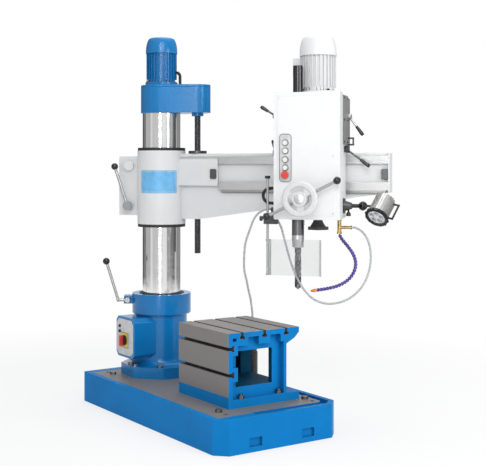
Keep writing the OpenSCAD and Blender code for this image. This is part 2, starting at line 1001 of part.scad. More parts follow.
module switch_outline(inset) {
  w = switch_w / 2 - inset;
  h = switch_h - 2 * inset;
  c = switch_corner;
  polygon([[-w, c], [c - w, 0], [w - c, 0], [w, c], [w, h - c], [w - c, h], [c - w, h], [-w, h - c]]);
}

module switch_box() {
  color(machine_blue) difference() {
    translate([0, 0, switch_z]) rotate([90, 0, 0])
      linear_extrude(switch_out - switch_plate_t) switch_outline(0);
    translate([0, 0, base_h]) disc(pedestal_d / 2, pedestal_top);
    translate([-base_half, -pedestal_d / 4, base_h]) cube([base_w, base_half, pedestal_top]);
    switch_hole();
  }
  color(steel) difference() {
    translate([0, switch_plate_t - switch_out, switch_z + switch_plate_in]) rotate([90, 0, 0])
      linear_extrude(switch_plate_t) switch_outline(switch_plate_in);
    switch_hole();
  }
}

module switch_hole() {
  translate([0, cut - switch_out + switch_stem_l, switch_axis_z]) rotate([90, 0, 0])
    disc(switch_stem_r + run_gap, switch_stem_l + 2 * cut);
}

module switch_knob() {
  translate([0, -switch_out, switch_axis_z]) rotate([90, 0, 0]) {
    color("gold") translate([0, 0, side_gap]) disc(switch_knob_r, switch_knob_t);
    color("red") translate([-switch_grip_w / 2, -switch_knob_r, side_gap + switch_knob_t])
      cube([switch_grip_w, 2 * switch_knob_r, switch_grip_t]);
    color(steel) translate([0, 0, -switch_stem_l]) disc(switch_stem_r, switch_stem_l + side_gap);
  }
}

module column_tube() {
  color(steel) translate([0, 0, column_foot])
    ring(column_r, column_r - column_wall, column_top - column_foot);
}

// Box table
module t_slot(l) {
  translate([0, -slot_w / 2, -slot_depth]) cube([l, slot_w, slot_depth + cut]);
  translate([0, -slot_head_w / 2, -slot_depth]) cube([l, slot_head_w, slot_head_h]);
}

function slot_y(i) = table_y0 + slot_in + slot_pitch * i;

module box_table() {
  run = table_l + 2 * cut;
  side = table_y1 - table_side_in;
  mid_y = table_y0 + table_wall;
  recess_w = side - table_recess / 2 - table_y0 - table_skin;
  color(machine_blue) difference() {
    translate([table_x, 0, base_h]) rotate([90, 0, 90]) linear_extrude(table_l) polygon([
      [table_y0, 0], [table_y1, 0], [table_y1, table_foot], [side, table_foot],
      [side, table_h - table_lip_h - table_lip_chamfer],
      [table_y1 - table_lip_chamfer, table_h - table_lip_h],
      [table_y1, table_h - table_lip_h + table_lip_chamfer], [table_y1, table_h], [table_y0, table_h]
    ]);
    translate([table_x + table_wall, mid_y, table_window_z0])
      cube([run, table_window_y1 - mid_y, table_window_z1 - table_window_z0]);
    translate([table_x + table_blank, mid_y, table_window_z0])
      cube([table_l - table_wall - table_blank, table_w, table_window_z1 - table_window_z0]);
    for (x = [table_x - cut, table_end - table_recess]) translate([x, 0, 0]) difference() {
      translate([0, table_y0 + table_skin, base_h + table_foot])
        cube([table_recess + cut, recess_w, table_h - table_foot - table_skin]);
      for (i = [0:2]) translate([-cut, slot_y(i) - boss_w / 2, table_top - boss_drop])
        cube([run, boss_w, boss_drop]);
      for (z = side_slot_drops) translate([-cut, table_y0, table_top - z - boss_w / 2])
        cube([run, boss_reach, boss_w]);
    }
    for (i = [0:2]) translate([table_x - cut, slot_y(i), table_top]) t_slot(run);
    for (z = side_slot_drops) translate([table_x - cut, table_y0, table_top - z])
      rotate([90, 0, 0]) t_slot(run);
    for (p = table_bolt_places()) translate([p.x, p.y, base_h - cut])
      disc(bolt_r + bolt_gap, table_foot + 2 * cut);
  }
}

module coolant_pump() {
  color(black) translate([pump_x, pump_y, base_h]) {
    disc(pump_foot_r, pump_foot_h);
    translate([0, 0, pump_foot_h]) disc(pump_r, pump_h - pump_foot_h);
    translate([0, 0, pump_h]) disc(pump_cap_r, pump_cap_h);
  }
  color("peru") translate([pump_x, pump_y, base_h + pump_h + pump_cap_h]) disc(pump_outlet_r, pump_outlet_h);
}

// Lift drive on top of the column
module case_outline(inset) {
  big = case_r - inset;
  small = case_end_r - inset;
  a = acos((big - small) / screw_x);
  circle(big);
  translate([screw_x, 0]) circle(small);
  polygon([polar(big, a), polar(big, -a), [screw_x, 0] + polar(small, -a), [screw_x, 0] + polar(small, a)]);
}

module lift_gear_case() {
  color(machine_blue) on_arm() {
    difference() {
      union() {
        translate([0, 0, column_top]) linear_extrude(case_h - cover_t) case_outline(0);
        translate([screw_x, 0, column_top - screw_boss_h]) disc(screw_boss_r, screw_boss_h);
      }
      translate([0, 0, column_top + case_floor]) linear_extrude(case_h) case_outline(case_wall);
      translate([screw_x, 0, 0]) disc(screw_r + run_gap, case_top);
    }
    translate([idler_x, 0, column_top + case_floor])
      disc(idler_pin_r, lift_gear_z - column_top - case_floor + lift_gear_t + collar_t);
    translate([idler_x, 0, column_top + case_floor])
      disc(2 * idler_pin_r, lift_gear_z - column_top - case_floor - side_gap);
  }
}

module lift_case_cover() {
  color(machine_blue) on_arm() translate([0, 0, case_top - cover_t]) difference() {
    linear_extrude(cover_t) case_outline(0);
    translate([0, 0, -cut]) disc(2 * shaft_r, cover_t + 2 * cut);
  }
}

// Finned motor body on its foot, with its rotor's bore
module motor_body(d, h) {
  foot = h * motor_foot_share;
  body = h * motor_body_share;
  core = d / 2 - fin_h;
  difference() {
    union() {
      slab(d, d, d * foot_round_share, foot / 2);
      translate([0, 0, foot / 2]) disc(core, foot / 2 + body);
      translate([0, 0, foot]) for (i = [0:fin_n - 1]) rotate([0, 0, 360 / fin_n * (i + 0.5)])
        translate([core - fin_t, -fin_t / 2, 0]) cube([fin_h + fin_t, fin_t, body]);
    }
    translate([0, 0, -cut]) disc(shaft_r + run_gap, h);
    translate([0, 0, motor_end_t]) disc(motor_bore_r, foot + body - 2 * motor_end_t);
  }
  for (i = [0:foot_bolt_n - 1]) rotate([0, 0, 45 + 360 / foot_bolt_n * i])
    translate([d * foot_bolt_share, 0, foot / 2]) cylinder(r = foot_bolt_r, h = foot_bolt_h, $fn = 6);
}

module fan_cover(d, h) {
  z0 = h * (motor_foot_share + motor_body_share);
  tall = h - z0;
  r = d / 2 + cover_lip;
  straight = tall * cover_straight_share;
  flat = r * cover_flat_share;
  bend = r - flat;
  squeeze = (tall - straight) / bend;
  arc = [for (a = [0:15:90]) [flat + bend * cos(a), straight + bend * squeeze * sin(a)]];
  inner = [for (p = arc) [p.x - cover_wall, p.y - cover_wall * (p.y - straight) / (tall - straight)]];
  translate([0, 0, z0]) difference() {
    rotate_extrude() polygon(concat(
      [[r, 0]], arc, [[0, tall], [0, tall - cover_wall]],
      [for (i = [1:len(inner)]) inner[len(inner) - i]], [[r - cover_wall, 0]]
    ));
    for (k = [1, 2]) for (i = [0:vent_n - 1]) rotate([0, 0, 360 / vent_n * (i + k / 2)])
      translate([flat * k * vent_share, 0, tall - 2 * cover_wall])
        disc(vent_r * k / 2 + vent_r / 4, 3 * cover_wall);
  }
}

// Rotor with its fan, from a gear at its lower end
module rotor(h, gear_low, gear_t, teeth, turn) {
  body = h * motor_body_share;
  foot = h * motor_foot_share;
  low = gear_low - 2 * cut;
  translate([0, 0, low]) disc(shaft_r, foot + body + fan_h + 2 * cover_wall - low);
  translate([0, 0, motor_end_t + side_gap])
    disc(motor_bore_r - rotor_gap, foot + body - 2 * motor_end_t - 2 * side_gap);
  translate([0, 0, gear_low]) rotate([0, 0, turn]) gear(big_module, teeth, gear_t, 0);
  translate([0, 0, foot + body + cover_wall]) {
    disc(motor_bore_r, fan_disc_t);
    for (i = [0:fan_blades - 1]) rotate([0, 0, 360 / fan_blades * i])
      translate([shaft_r - fan_blade_t, -fan_blade_t / 2, fan_disc_t / 2])
        cube([motor_bore_r * fan_share - shaft_r, fan_blade_t, fan_h - fan_disc_t / 2]);
  }
}

module lift_motor() {
  color(machine_blue) on_arm() translate([0, 0, case_top]) motor_body(lift_motor_d, lift_motor_h);
  color(black) on_arm() translate([lift_motor_d / 2, 0, case_top + 2 * conduit_bend]) rotate([90, 0, 0]) {
    rotate_extrude(angle = 90) translate([conduit_bend, 0]) circle(conduit_r);
    translate([conduit_bend, 0, 0]) rotate([90, 0, 0]) disc(conduit_r, 2 * conduit_bend);
  }
}

module lift_fan_cover() {
  color(machine_blue) on_arm() translate([0, 0, case_top]) fan_cover(lift_motor_d, lift_motor_h);
}

module lift_rotor() {
  color(steel) on_arm() translate([0, 0, case_top])
    rotor(lift_motor_h, lift_gear_z - case_top, lift_gear_t, lift_pinion_n, 0);
}

module idler_gear() {
  color(steel) on_arm() translate([idler_x, 0, lift_gear_z])
    rotate([0, 0, 180 + 180 / lift_idler_n])
      gear(big_module, lift_idler_n, lift_gear_t, idler_pin_r + run_gap);
}

module lead_screw() {
  color(black) on_arm() translate([screw_x, 0, 0]) {
    translate([0, 0, screw_bottom]) disc(screw_r, lift_gear_z + lift_gear_t + collar_t - screw_bottom);
    translate([0, 0, column_top + case_floor]) disc(collar_r, collar_t);
    translate([0, 0, lift_gear_z]) rotate([0, 0, 180]) gear(big_module, lift_screw_n, lift_gear_t, 0);
  }
}

// Arm
module arm_web() {
  facing_front() translate([0, 0, -web_half]) linear_extrude(web_t) polygon([
    [0, root_bottom], [lug_reach, root_bottom], [arm_reach, tip_bottom],
    [arm_reach, arm_top - cap_h / 2], [0, arm_top - cap_h / 2]
  ]);
}

module arm_casting() {
  color(paint_white) on_arm() difference() {
    union() {
      translate([0, 0, sleeve_bottom]) disc(sleeve_d / 2, sleeve_top - sleeve_bottom);
      arm_web();
      block([0, -cap_half, way_upper_top], [arm_reach, cap_half, arm_top]);
      block([way_start, -way_front, way_upper_bottom], [arm_reach - end_plate_t, way_front, way_upper_top]);
      block([way_start, -way_front, way_lower_bottom], [arm_reach - end_plate_t, way_front, way_lower_top]);
      block([arm_reach - end_plate_t, -way_front, tip_bottom], [arm_reach, way_front, arm_top]);
      block([0, -root_front, root_z0], [root_end, root_front, root_z1]);
      block([-lug_reach, -lug_half, lug_z0], [0, lug_half, lug_z1]);
      for (z = [lug_bolt_low, lug_bolt_high]) at(-lug_bolt_x, lug_half, z)
        facing_front() disc(lug_boss_r, lug_boss_t);
    }
    translate([0, 0, sleeve_bottom - cut]) disc(column_r + run_gap, sleeve_top - sleeve_bottom + 2 * cut);
    block([-lug_reach - cut, -lug_slit / 2, sleeve_bottom - cut], [0, lug_slit / 2, sleeve_top + cut]);
    for (z = [lug_bolt_low, lug_bolt_high]) at(-lug_bolt_x, -lug_half - cut, z)
      facing_front() disc(lug_screw_r + run_gap, 2 * lug_half + lug_boss_t + 2 * cut);
    translate([screw_x, 0, root_bottom - cut]) disc(screw_r + screw_room, root_drop + 2 * cut);
    translate([screw_x, 0, arm_top - nut_l]) disc(nut_r, nut_l + cut);
  }
  color(steel) on_arm() at(-lug_bolt_x, -lug_half, lug_bolt_high)
    facing_front() disc(lug_screw_r, 2 * lug_half + lug_boss_t);
}

module wiper_rings() {
  color(black) for (z = [sleeve_bottom - wiper_h, sleeve_top])
    translate([0, 0, z]) ring(sleeve_d / 2 - cut, column_r + run_gap, wiper_h);
}

module lift_nut() {
  color(black) on_arm() translate([screw_x, 0, arm_top]) difference() {
    union() {
      disc(nut_flange_r, nut_flange_t);
      translate([0, 0, -nut_l]) disc(nut_r - run_gap, nut_l);
    }
    translate([0, 0, -nut_l - cut]) disc(screw_r + run_gap, nut_l + nut_flange_t + 2 * cut);
  }
}

module arm_stops() {
  color(black) on_arm() {
    at(way_start - stop_w / 2 - stop_round, root_front, stop_z) facing_front()
      slab(stop_w, stop_h, stop_round, stop_t / 2);
    at(arm_reach - end_plate_t - stop_w / 2, web_half, stop_z) facing_front()
      slab(stop_w, stop_h, stop_round, way_front - web_half);
  }
}

module name_plate() {
  color("skyblue") on_arm() translate([0, 0, plate_z0]) rotate([0, 0, plate_from])
    rotate_extrude(angle = plate_turn) translate([sleeve_d / 2, 0]) square([plate_t, plate_h]);
}

module traverse_rack() {
  from = way_start + rack_margin - wheel_x;
  to = arm_reach - end_plate_t - rack_margin - wheel_x;
  color(black) on_arm() at(wheel_x, web_half, rack_z) facing_front() mirror([0, 1, 0])
    rack(small_module, from, to, way_lower_bottom - rack_z, rack_t);
}

module arm_lever() {
  on_arm() at(-lug_bolt_x, lug_half + lug_boss_t + side_gap, lug_bolt_low) {
    color(steel) facing_front() disc(lug_boss_r - cut, lever_hub_l);
    color(steel) translate([0, 2 * lug_half + lug_boss_t, 0]) facing_front()
      disc(lug_screw_r, 2 * lug_half + lug_boss_t + 2 * side_gap);
    translate([0, -lever_hub_l / 2, 0]) rotate([0, -arm_lever_lean, 0]) {
      color(steel) disc(lever_rod_r, arm_lever_l);
      color(black) translate([0, 0, arm_lever_l]) lever_ball(lever_rod_r);
    }
  }
}

// Head
module along_shaft(r, f0, f1) {
  at(wheel_x, f0, wheel_z) facing_front() disc(r, f1 - f0);
}

module pin_hole(wall) {
  facing_along() disc(lever_pin_r + run_gap, wall + 2 * cut);
}

module head_housing() {
  in_x0 = head_start + head_wall;
  in_x1 = head_end - head_wall;
  in_f0 = head_back + head_wall;
  in_z0 = head_bottom + head_wall;
  in_z1 = head_top - head_wall;
  pinion_half = feed_pinion_t / 2 + side_gap;
  color(paint_white) on_arm() difference() {
    union() {
      difference() {
        union() {
          block([head_start, head_back, head_bottom], [head_end, panel_back, head_top]);
          block([head_start, wide_f, head_bottom], [head_end + head_wide, panel_back, head_top]);
        }
        block([in_x0, in_f0, in_z0], [in_x1, head_front, in_z1]);
      }
      block([in_x0, in_f0, shelf_z], [in_x1, panel_back, shelf_z + shelf_t]);
      at(spindle_x, spindle_f, shelf_z) disc(sleeve_boss_r, shelf_t + sleeve_boss_h);
      at(spindle_x, spindle_f, head_bottom) disc(guide_r, guide_top - head_bottom);
      along_shaft(feed_tube_r + head_wall, head_back, head_back + 4 * head_wall);
    }
    block(
      [gearbox_start + gearbox_wall, head_back - cut, shelf_z + shelf_t],
      [in_x1, in_f0 + cut, gearbox_top - gearbox_wall]
    );
    at(spindle_x, spindle_f, 0) disc(quill_r + run_gap, shelf_z - head_wall);
    at(spindle_x, spindle_f, 0) disc(sleeve_r + run_gap, in_z1);
    at(spindle_x, spindle_f, 0) disc(spindle_r + cavity_gap, head_top + cut);
    block(
      [spindle_x, spindle_f - quill_rack_slot / 2, head_bottom - cut],
      [spindle_x + quill_r + quill_slot_reach, spindle_f + quill_rack_slot / 2, guide_top + cut]
    );
    along_shaft(feed_tube_r + run_gap, spindle_f - feed_pinion_t, head_front);
    along_shaft(feed_r + cavity_gap + small_module, spindle_f - pinion_half, spindle_f + pinion_half);
    along_shaft(wheel_shaft_r + run_gap, 0, head_front);
    at(motor_x, motor_f, in_z1 - cut) disc(shaft_r + cavity_gap, head_wall + 2 * cut);
    at(knob_x, knob_f, head_bottom - cut) disc(knob_shaft_r + run_gap, head_wall + 2 * cut);
    for (z = [range_z, lock_z]) at(head_start - cut, range_f, z) pin_hole(head_wall);
    at(head_end - head_wall - cut, select_f, select_z) pin_hole(head_wall);
  }
}

module front_panel() {
  w = head_w + head_wide;
  h = head_top - head_bottom;
  mid_x = head_start + w / 2;
  mid_z = head_bottom + h / 2;
  color(paint_white) on_arm() difference() {
    at(mid_x, panel_back, mid_z) facing_front() {
      slab(w, h, panel_round, panel_t);
      slab(w - 2 * face_in, h - 2 * face_in, panel_round, panel_t + face_t);
    }
    along_shaft(feed_tube_r + run_gap, 0, head_front + 2 * cut);
    for (z = concat(button_places, [stop_place])) at(button_plate_x, 0, button_plate_z + z)
      facing_front() disc(button_stem_r + cavity_gap, head_front + 2 * cut);
  }
  color(steel) on_arm() for (i = [-1, 1]) for (j = [-1, 0, 1])
    at(mid_x + i * (w / 2 - panel_screw_edge), head_front, mid_z + j * (h / 2 - panel_screw_edge))
      facing_front() disc(panel_screw_r, panel_screw_h);
  button_plate();
}

module rear_gearbox() {
  x1 = head_end;
  color(iron_grey) on_arm() {
    difference() {
      union() {
        block([gearbox_start, gearbox_back, gearbox_bottom], [x1, head_back, gearbox_top]);
        block(
          [gearbox_start, -way_front - side_gap - keeper_t, arm_top - keeper_drop],
          [x1, -way_front - side_gap, gearbox_bottom + cut]
        );
      }
      block(
        [gearbox_start + gearbox_wall, gearbox_back + gearbox_wall, gearbox_bottom + gearbox_wall],
        [x1 - gearbox_wall, head_back + cut, gearbox_top - gearbox_wall]
      );
      at(x1 - gearbox_wall - cut, speed_f, speed_z) pin_hole(gearbox_wall);
    }
    block([x1, cheek_f0, select_z + cheek_rise], [x1 + cheek_t, cheek_f1, head_top]);
    for (j = [-1, 1]) at(x1, speed_f, handle_z + j * handle_h / 2)
      facing_along() disc(handle_r, handle_reach);
    at(x1 + handle_reach, speed_f, handle_z - handle_h / 2) disc(handle_r, handle_h);
    for (j = [-1, 1]) at(x1 + handle_reach, speed_f, handle_z + j * handle_h / 2) sphere(handle_knuckle_r);
  }
}

module main_motor() {
  color(paint_white) on_arm() at(motor_x, motor_f, head_top) motor_body(main_motor_d, main_motor_h);
  color(paint_white) on_arm() difference() {
    translate([motor_x - main_motor_d / 2 - terminal_out, -motor_f - terminal_d / 2, terminal_z])
      cube([terminal_w + main_motor_d / 4, terminal_d, terminal_h]);
    at(motor_x, motor_f, head_top) disc(main_motor_d / 2, main_motor_h);
  }
}

module main_fan_cover() {
  color(paint_white) on_arm() at(motor_x, motor_f, head_top) fan_cover(main_motor_d, main_motor_h);
}

// Direction from the motor's axis to the spindle's, about +Z
function drive_turn() = atan2(motor_f - spindle_f, spindle_x - motor_x);

module main_rotor() {
  color(steel) on_arm() at(motor_x, motor_f, head_top)
    rotor(main_motor_h, drive_gear_z - head_top, drive_gear_t, drive_n, drive_turn());
}

module drive_sleeve() {
  low = shelf_z - 2 * cut;
  seat = shelf_z + shelf_t + sleeve_boss_h;
  color(steel) on_arm() at(spindle_x, spindle_f, 0) difference() {
    union() {
      translate([0, 0, low]) disc(sleeve_r, drive_gear_z + drive_gear_t + collar_t - low);
      translate([0, 0, seat]) disc(sleeve_boss_r, drive_gear_z - seat);
      translate([0, 0, drive_gear_z]) rotate([0, 0, drive_turn() + 180 + 180 / drive_n])
        gear(big_module, drive_n, drive_gear_t, 0);
    }
    translate([0, 0, low - cut]) disc(spindle_r + run_gap, head_top);
  }
}

module spindle_tube() {
  color(black) on_arm() at(spindle_x, spindle_f, head_top) difference() {
    union() {
      disc(tube_d / 2, tube_h);
      disc(tube_base_r, tube_base_t);
    }
    translate([0, 0, -cut]) disc(tube_d / 2 - tube_wall, tube_h - tube_wall + cut);
  }
}

// Quill with the rack that the feed pinion turns on
module quill() {
  flat = wheel_x - feed_r - spindle_x - root_share * small_module;
  from = quill_bottom + 2 * ball_d;
  color(steel) on_arm() at(spindle_x, spindle_f, 0) difference() {
    union() {
      difference() {
        translate([0, 0, quill_bottom]) disc(quill_r, quill_top - quill_bottom);
        block([flat, -quill_rack_f / 2, from], [quill_d, quill_rack_f / 2, quill_top + cut]);
      }
      translate([wheel_x - feed_r - spindle_x, quill_rack_f / 2, wheel_z]) rotate([90, 0, 0])
        rotate([0, 0, -90])
          rack(small_module, wheel_z - quill_top, wheel_z - from, 2 * small_module, quill_rack_f);
    }
    translate([0, 0, quill_bottom - cut]) disc(spindle_low_r + run_gap, quill_top);
  }
}

module spindle() {
  color(steel) on_arm() at(spindle_x, spindle_f, 0) difference() {
    union() {
      translate([0, 0, quill_bottom - side_gap]) disc(spindle_low_r, quill_top - quill_bottom + side_gap);
      translate([0, 0, quill_top]) disc(spindle_r, spindle_top - quill_top);
      translate([0, 0, nose_bottom]) disc(nose_r, nose_h);
    }
    translate([0, 0, nose_bottom - cut]) disc(shank_r, shank_l + cut);
  }
}

// Twist drill: two wound flutes and a ground point
module drill_bit() {
  r = drill_d / 2;
  tip = drill_d * drill_tip_share;
  body = drill_l - tip;
  color(steel) on_arm() at(spindle_x, spindle_f, nose_bottom) {
    disc(shank_r, shank_l);
    intersection() {
      translate([0, 0, -drill_l]) linear_extrude(drill_l, twist = -360 * flute_turns, slices = 36)
        difference() {
          circle(r, $fn = 20);
          for (i = [-1, 1]) translate([i * r * flute_shift_share, 0])
            circle(r * flute_r_share, $fn = 14);
        }
      translate([0, 0, -drill_l]) rotate_extrude() polygon(
        [[0, 0], [r + cut, tip + cut * tip / r], [r + cut, drill_l], [0, drill_l]]
      );
    }
  }
}

// Handwheel on the shaft that runs to the rack
module handwheel() {
  rim_mid = wheel_d / 2 - wheel_rim_w / 2;
  half = wheel_rim_w / 2 - wheel_t / 2;
  color(paint_white) on_arm() at(wheel_x, wheel_back, wheel_z) facing_front() {
    rotate_extrude() translate([rim_mid, wheel_t / 2]) {
      square([2 * half, wheel_t], center = true);
      for (i = [-1, 1]) translate([i * half, 0]) circle(wheel_t / 2);
    }
    disc(wheel_hub_r, wheel_hub_t);
    for (a = wheel_spoke_turns) rotate([0, 0, a])
      translate([0, -wheel_spoke_w / 2, (wheel_t - wheel_spoke_t) / 2])
        cube([rim_mid, wheel_spoke_w, wheel_spoke_t]);
  }
  color(steel) on_arm() {
    along_shaft(wheel_shaft_r, web_half + side_gap, wheel_back);
    at(wheel_x, web_half + side_gap + cut, wheel_z) facing_front() rotate([0, 0, 90])
      gear(small_module, traverse_pinion_n, rack_t - 2 * cut, 0);
  }
}

// Turns a drawing's own Z along each feed lever
module feed_rods() {
  for (a = [0, 180]) at(wheel_x, feed_hub_back + feed_hub_t / 2, wheel_z)
    rotate([0, 90 - feed_lever_tilt + a, 0]) children();
}

// Feed hub on its hollow shaft, with two ball levers
module feed_levers() {
  color(steel) on_arm() difference() {
    union() {
      along_shaft(feed_tube_r, spindle_f - feed_pinion_t, feed_hub_back);
      along_shaft(feed_hub_r, feed_hub_back, feed_hub_back + feed_hub_t);
      at(wheel_x, spindle_f - feed_pinion_t / 2, wheel_z) facing_front() rotate([0, 0, 180])
        gear(small_module, feed_pinion_n, feed_pinion_t, 0);
      feed_rods() disc(feed_lever_r, feed_lever_l - ball_d / 2);
    }
    along_shaft(wheel_shaft_r + run_gap, 0, wheel_back);
  }
  color(black) on_arm() feed_rods() translate([0, 0, feed_lever_l - ball_d / 2]) lever_ball(feed_lever_r);
}

// Push buttons
module button_plate() {
  color(paint_white) on_arm() difference() {
    at(button_plate_x, head_front, button_plate_z) facing_front()
      slab(button_plate_w, button_plate_h, button_plate_round, button_plate_t);
    for (z = concat(button_places, [stop_place])) at(button_plate_x, 0, button_plate_z + z)
      facing_front() disc(button_stem_r + run_gap, head_front + button_plate_t + cut);
  }
}

module push_button(place, d, t) {
  face = head_front + button_plate_t + button_room;
  on_arm() at(button_plate_x, face, button_plate_z + place) facing_front() {
    disc(d / 2, t);
    translate([0, 0, -button_stem_l]) disc(button_stem_r, button_stem_l);
  }
}

module button_1() {
  color("white") push_button(button_places[0], button_d, button_cap_t);
}

module button_2() {
  color("white") push_button(button_places[1], button_d, button_cap_t);
}

module button_3() {
  color("white") push_button(button_places[2], button_d, button_cap_t);
}

module button_4() {
  color("white") push_button(button_places[3], button_d, button_cap_t);
}

module stop_button() {
  color("red") push_button(stop_place, stop_d, stop_cap_t);
}

// Lobed knob under the head
module hand_knob() {
  r = knob_d / 2;
  color(black) on_arm() at(knob_x, knob_f, head_bottom - side_gap) mirror([0, 0, 1]) {
    rotate_extrude() polygon([[0, 0], [knob_stem_r, 0], [knob_stem_r, knob_stem_h],
      [r - 2 * knob_lobe_r, knob_stem_h + knob_h / 2], [0, knob_stem_h + knob_h / 2]]);
    translate([0, 0, knob_stem_h + knob_h / 2]) linear_extrude(knob_h / 2) {
      circle(r - knob_lobe_r / 2);
      for (i = [0:knob_lobes - 1]) rotate(360 / knob_lobes * i)
        translate([r - knob_lobe_r, 0]) circle(knob_lobe_r);
    }
    mirror([0, 0, 1]) disc(knob_shaft_r, head_wall + side_gap);
  }
}

// Levers on the head's sides, each on a pin along the arm
module lever_hub(wall) {
  facing_along() disc(speed_hub_r, speed_hub_l);
  translate([-wall - side_gap, 0, 0]) facing_along() disc(lever_pin_r, wall + 2 * side_gap);
}

module speed_lever() {
  on_arm() at(head_end + side_gap, speed_f, speed_z) {
    color(steel) lever_hub(gearbox_wall);
    translate([speed_hub_l / 2, 0, 0]) rotate([0, speed_tilt, 0])
      gripped_rod(speed_lever_l, lever_rod_slim_r, grip_l, grip_r);
  }
}

module feed_select_lever() {
  on_arm() at(head_end + side_gap, select_f, select_z) {
    color(steel) lever_hub(head_wall);
    translate([speed_hub_l / 2, 0, 0]) rotate([0, select_tilt, 0])
      gripped_rod(select_l, lever_rod_slim_r, grip_l, grip_r);
  }
}

module range_lever() {
  on_arm() at(head_start - side_gap, range_f, range_z) mirror([1, 0, 0]) {
    color(steel) lever_hub(head_wall);
    translate([speed_hub_l / 2, 0, 0]) rotate([0, range_tilt, 0])
      gripped_rod(range_l, lever_rod_slim_r, range_grip_l, grip_r);
  }
}

module lock_lever() {
  on_arm() at(head_start - side_gap, range_f, lock_z) mirror([1, 0, 0]) {
    color(steel) lever_hub(head_wall);
    translate([speed_hub_l / 2, 0, 0]) rotate([0, lock_tilt, 0])
      gripped_rod(lock_l, lever_rod_slim_r, range_grip_l, grip_r);
  }
}

// Splash guard on its height rod
module guard_bracket() {
  color(black) on_arm() {
    difference() {
      union() {
        block([block_x0, block_f0, block_z0], [head_start, block_f1, block_z1]);
        at(block_x0 - screw_knob_neck, rod_f, head_bottom) facing_along() {
          disc(screw_knob_neck_r, screw_knob_neck);
          translate([0, 0, -screw_knob_t]) disc(screw_knob_r, screw_knob_t);
        }
        at(clip_x - clip_l / 2, clip_f, clip_z) facing_along() disc(hose_r + 2 * clip_t, clip_l);
        block(
          [clip_x - clip_l / 2, clip_f - clip_t, block_z1],
          [clip_x + clip_l / 2, clip_f + clip_t, clip_z]
        );
        block(
          [clip_x - clip_l / 2, clip_f - clip_t, block_z1],
          [clip_x + clip_l / 2, rod_f, block_z1 + clip_t]
        );
      }
      at(rod_x, rod_f, block_z0 - cut) disc(rod_d / 2 + run_gap, block_z1 - block_z0 + 2 * cut);
      at(clip_x - clip_l, clip_f, clip_z) facing_along() disc(hose_r + clip_t, 2 * clip_l);
    }
    for (j = [-1, 1]) at(head_start, loop_f, loop_z + j * loop_r) facing_along() {
      translate([0, 0, -gland_l]) disc(gland_r, gland_l);
      translate([0, 0, -loop_out]) disc(conduit_r, loop_out - gland_l);
    }
    at(head_start - loop_out, loop_f, loop_z) facing_front() rotate([0, 0, 90])
      rotate_extrude(angle = 180) translate([loop_r, 0]) circle(conduit_r);
  }
}

module guard_rod() {
  on_arm() at(rod_x, rod_f, 0) {
    color(steel) translate([0, 0, rod_z0]) disc(rod_d / 2, rod_z1 - rod_z0);
    color(black) translate([0, 0, rod_z1]) disc(rod_cap_r, rod_cap_h);
  }
}

module guard_sheet() {
  x0 = rod_x + guard_sleeve_r - cut;
  on_arm() {
    color(steel) for (z = [guard_z0, guard_z0 + guard_h - guard_sleeve_r])
      at(rod_x, rod_f, z + cut) ring(guard_sleeve_r, rod_d / 2 + run_gap, guard_sleeve_r - 2 * cut);
    color(steel) for (x = [x0, x0 + guard_w - guard_edge_w])
      translate([x, -rod_f - guard_edge_t / 2, guard_z0]) cube([guard_edge_w, guard_edge_t, guard_h]);
    color([0.8, 0.85, 0.88, 0.4])
      translate([x0 + guard_edge_w, -rod_f - guard_t / 2, guard_z0])
        cube([guard_w - 2 * guard_edge_w, guard_t, guard_h]);
  }
}

// Coolant pieces
module coolant_tee() {
  color("peru") on_arm() at(tee_x, tee_f, head_bottom) mirror([0, 0, 1]) {
    disc(tee_r, tee_l);
    translate([0, 0, tee_l - tee_nut_h]) cylinder(r = tee_nut_r, h = tee_nut_h, $fn = 6);
    cylinder(r = tee_nut_r, h = tee_nut_h, $fn = 6);
    translate([0, 0, tee_side_drop]) facing_along() {
      disc(tee_side_r, tee_side_l);
      translate([0, 0, tee_side_l]) disc(barb_r, barb_l);
    }
  }
}

// Turns a drawing's own Z along a direction
module along_direction(v) {
  rotate([0, acos(v.z / norm(v)), atan2(v.y, v.x)]) children();
}

// Route sampled finely, then walked in equal steps
function route_length(p, i = 1) = i == len(p) ? 0 : norm(p[i] - p[i - 1]) + route_length(p, i + 1);
function walk(p, s, i = 1) =
  let (d = norm(p[i] - p[i - 1]))
  s <= d || i == len(p) - 1 ? p[i - 1] + (p[i] - p[i - 1]) * s / d : walk(p, s - d, i + 1);

module hose_segment(l) {
  r = segment_d / 2;
  neck = r * segment_neck_share;
  rotate_extrude() polygon([[0, -2 * segment_gap], [neck, -2 * segment_gap], [neck, l * segment_neck_l_share],
    [r, l * segment_swell_share], [r, l], [0, l]]);
}

module jointed_hose() {
  fine = smooth(facing(jointed_route), 8);
  total = route_length(fine);
  step = total / segment_n;
  r = segment_d / 2;
  color("slateblue") on_arm() for (i = [0:segment_n - 1]) {
    a = walk(fine, i * step);
    b = walk(fine, (i + 1) * step);
    translate(a) along_direction(b - a) hose_segment(norm(b - a) - segment_gap);
  }
  last = fine[len(fine) - 1];
  way = last - fine[len(fine) - 2];
  color("orange") on_arm() translate(last) along_direction(way) rotate_extrude() polygon(
    [[0, -2 * segment_gap], [r * segment_neck_share, -2 * segment_gap], [r, nozzle_l / 4], [r, nozzle_l / 2],
      [nozzle_r, nozzle_l], [0, nozzle_l]]
  );
}

module hose_upper() {
  color("lightgrey") on_arm() swept_tube(smooth(facing(upper_route), route_steps), hose_r);
}

module hose_mid() {
  color("lightgrey") swept_tube(smooth(mid_route, route_steps), hose_r);
}

module hose_lower() {
  color("lightgrey") swept_tube(smooth(lower_route, route_steps), hose_r);
}

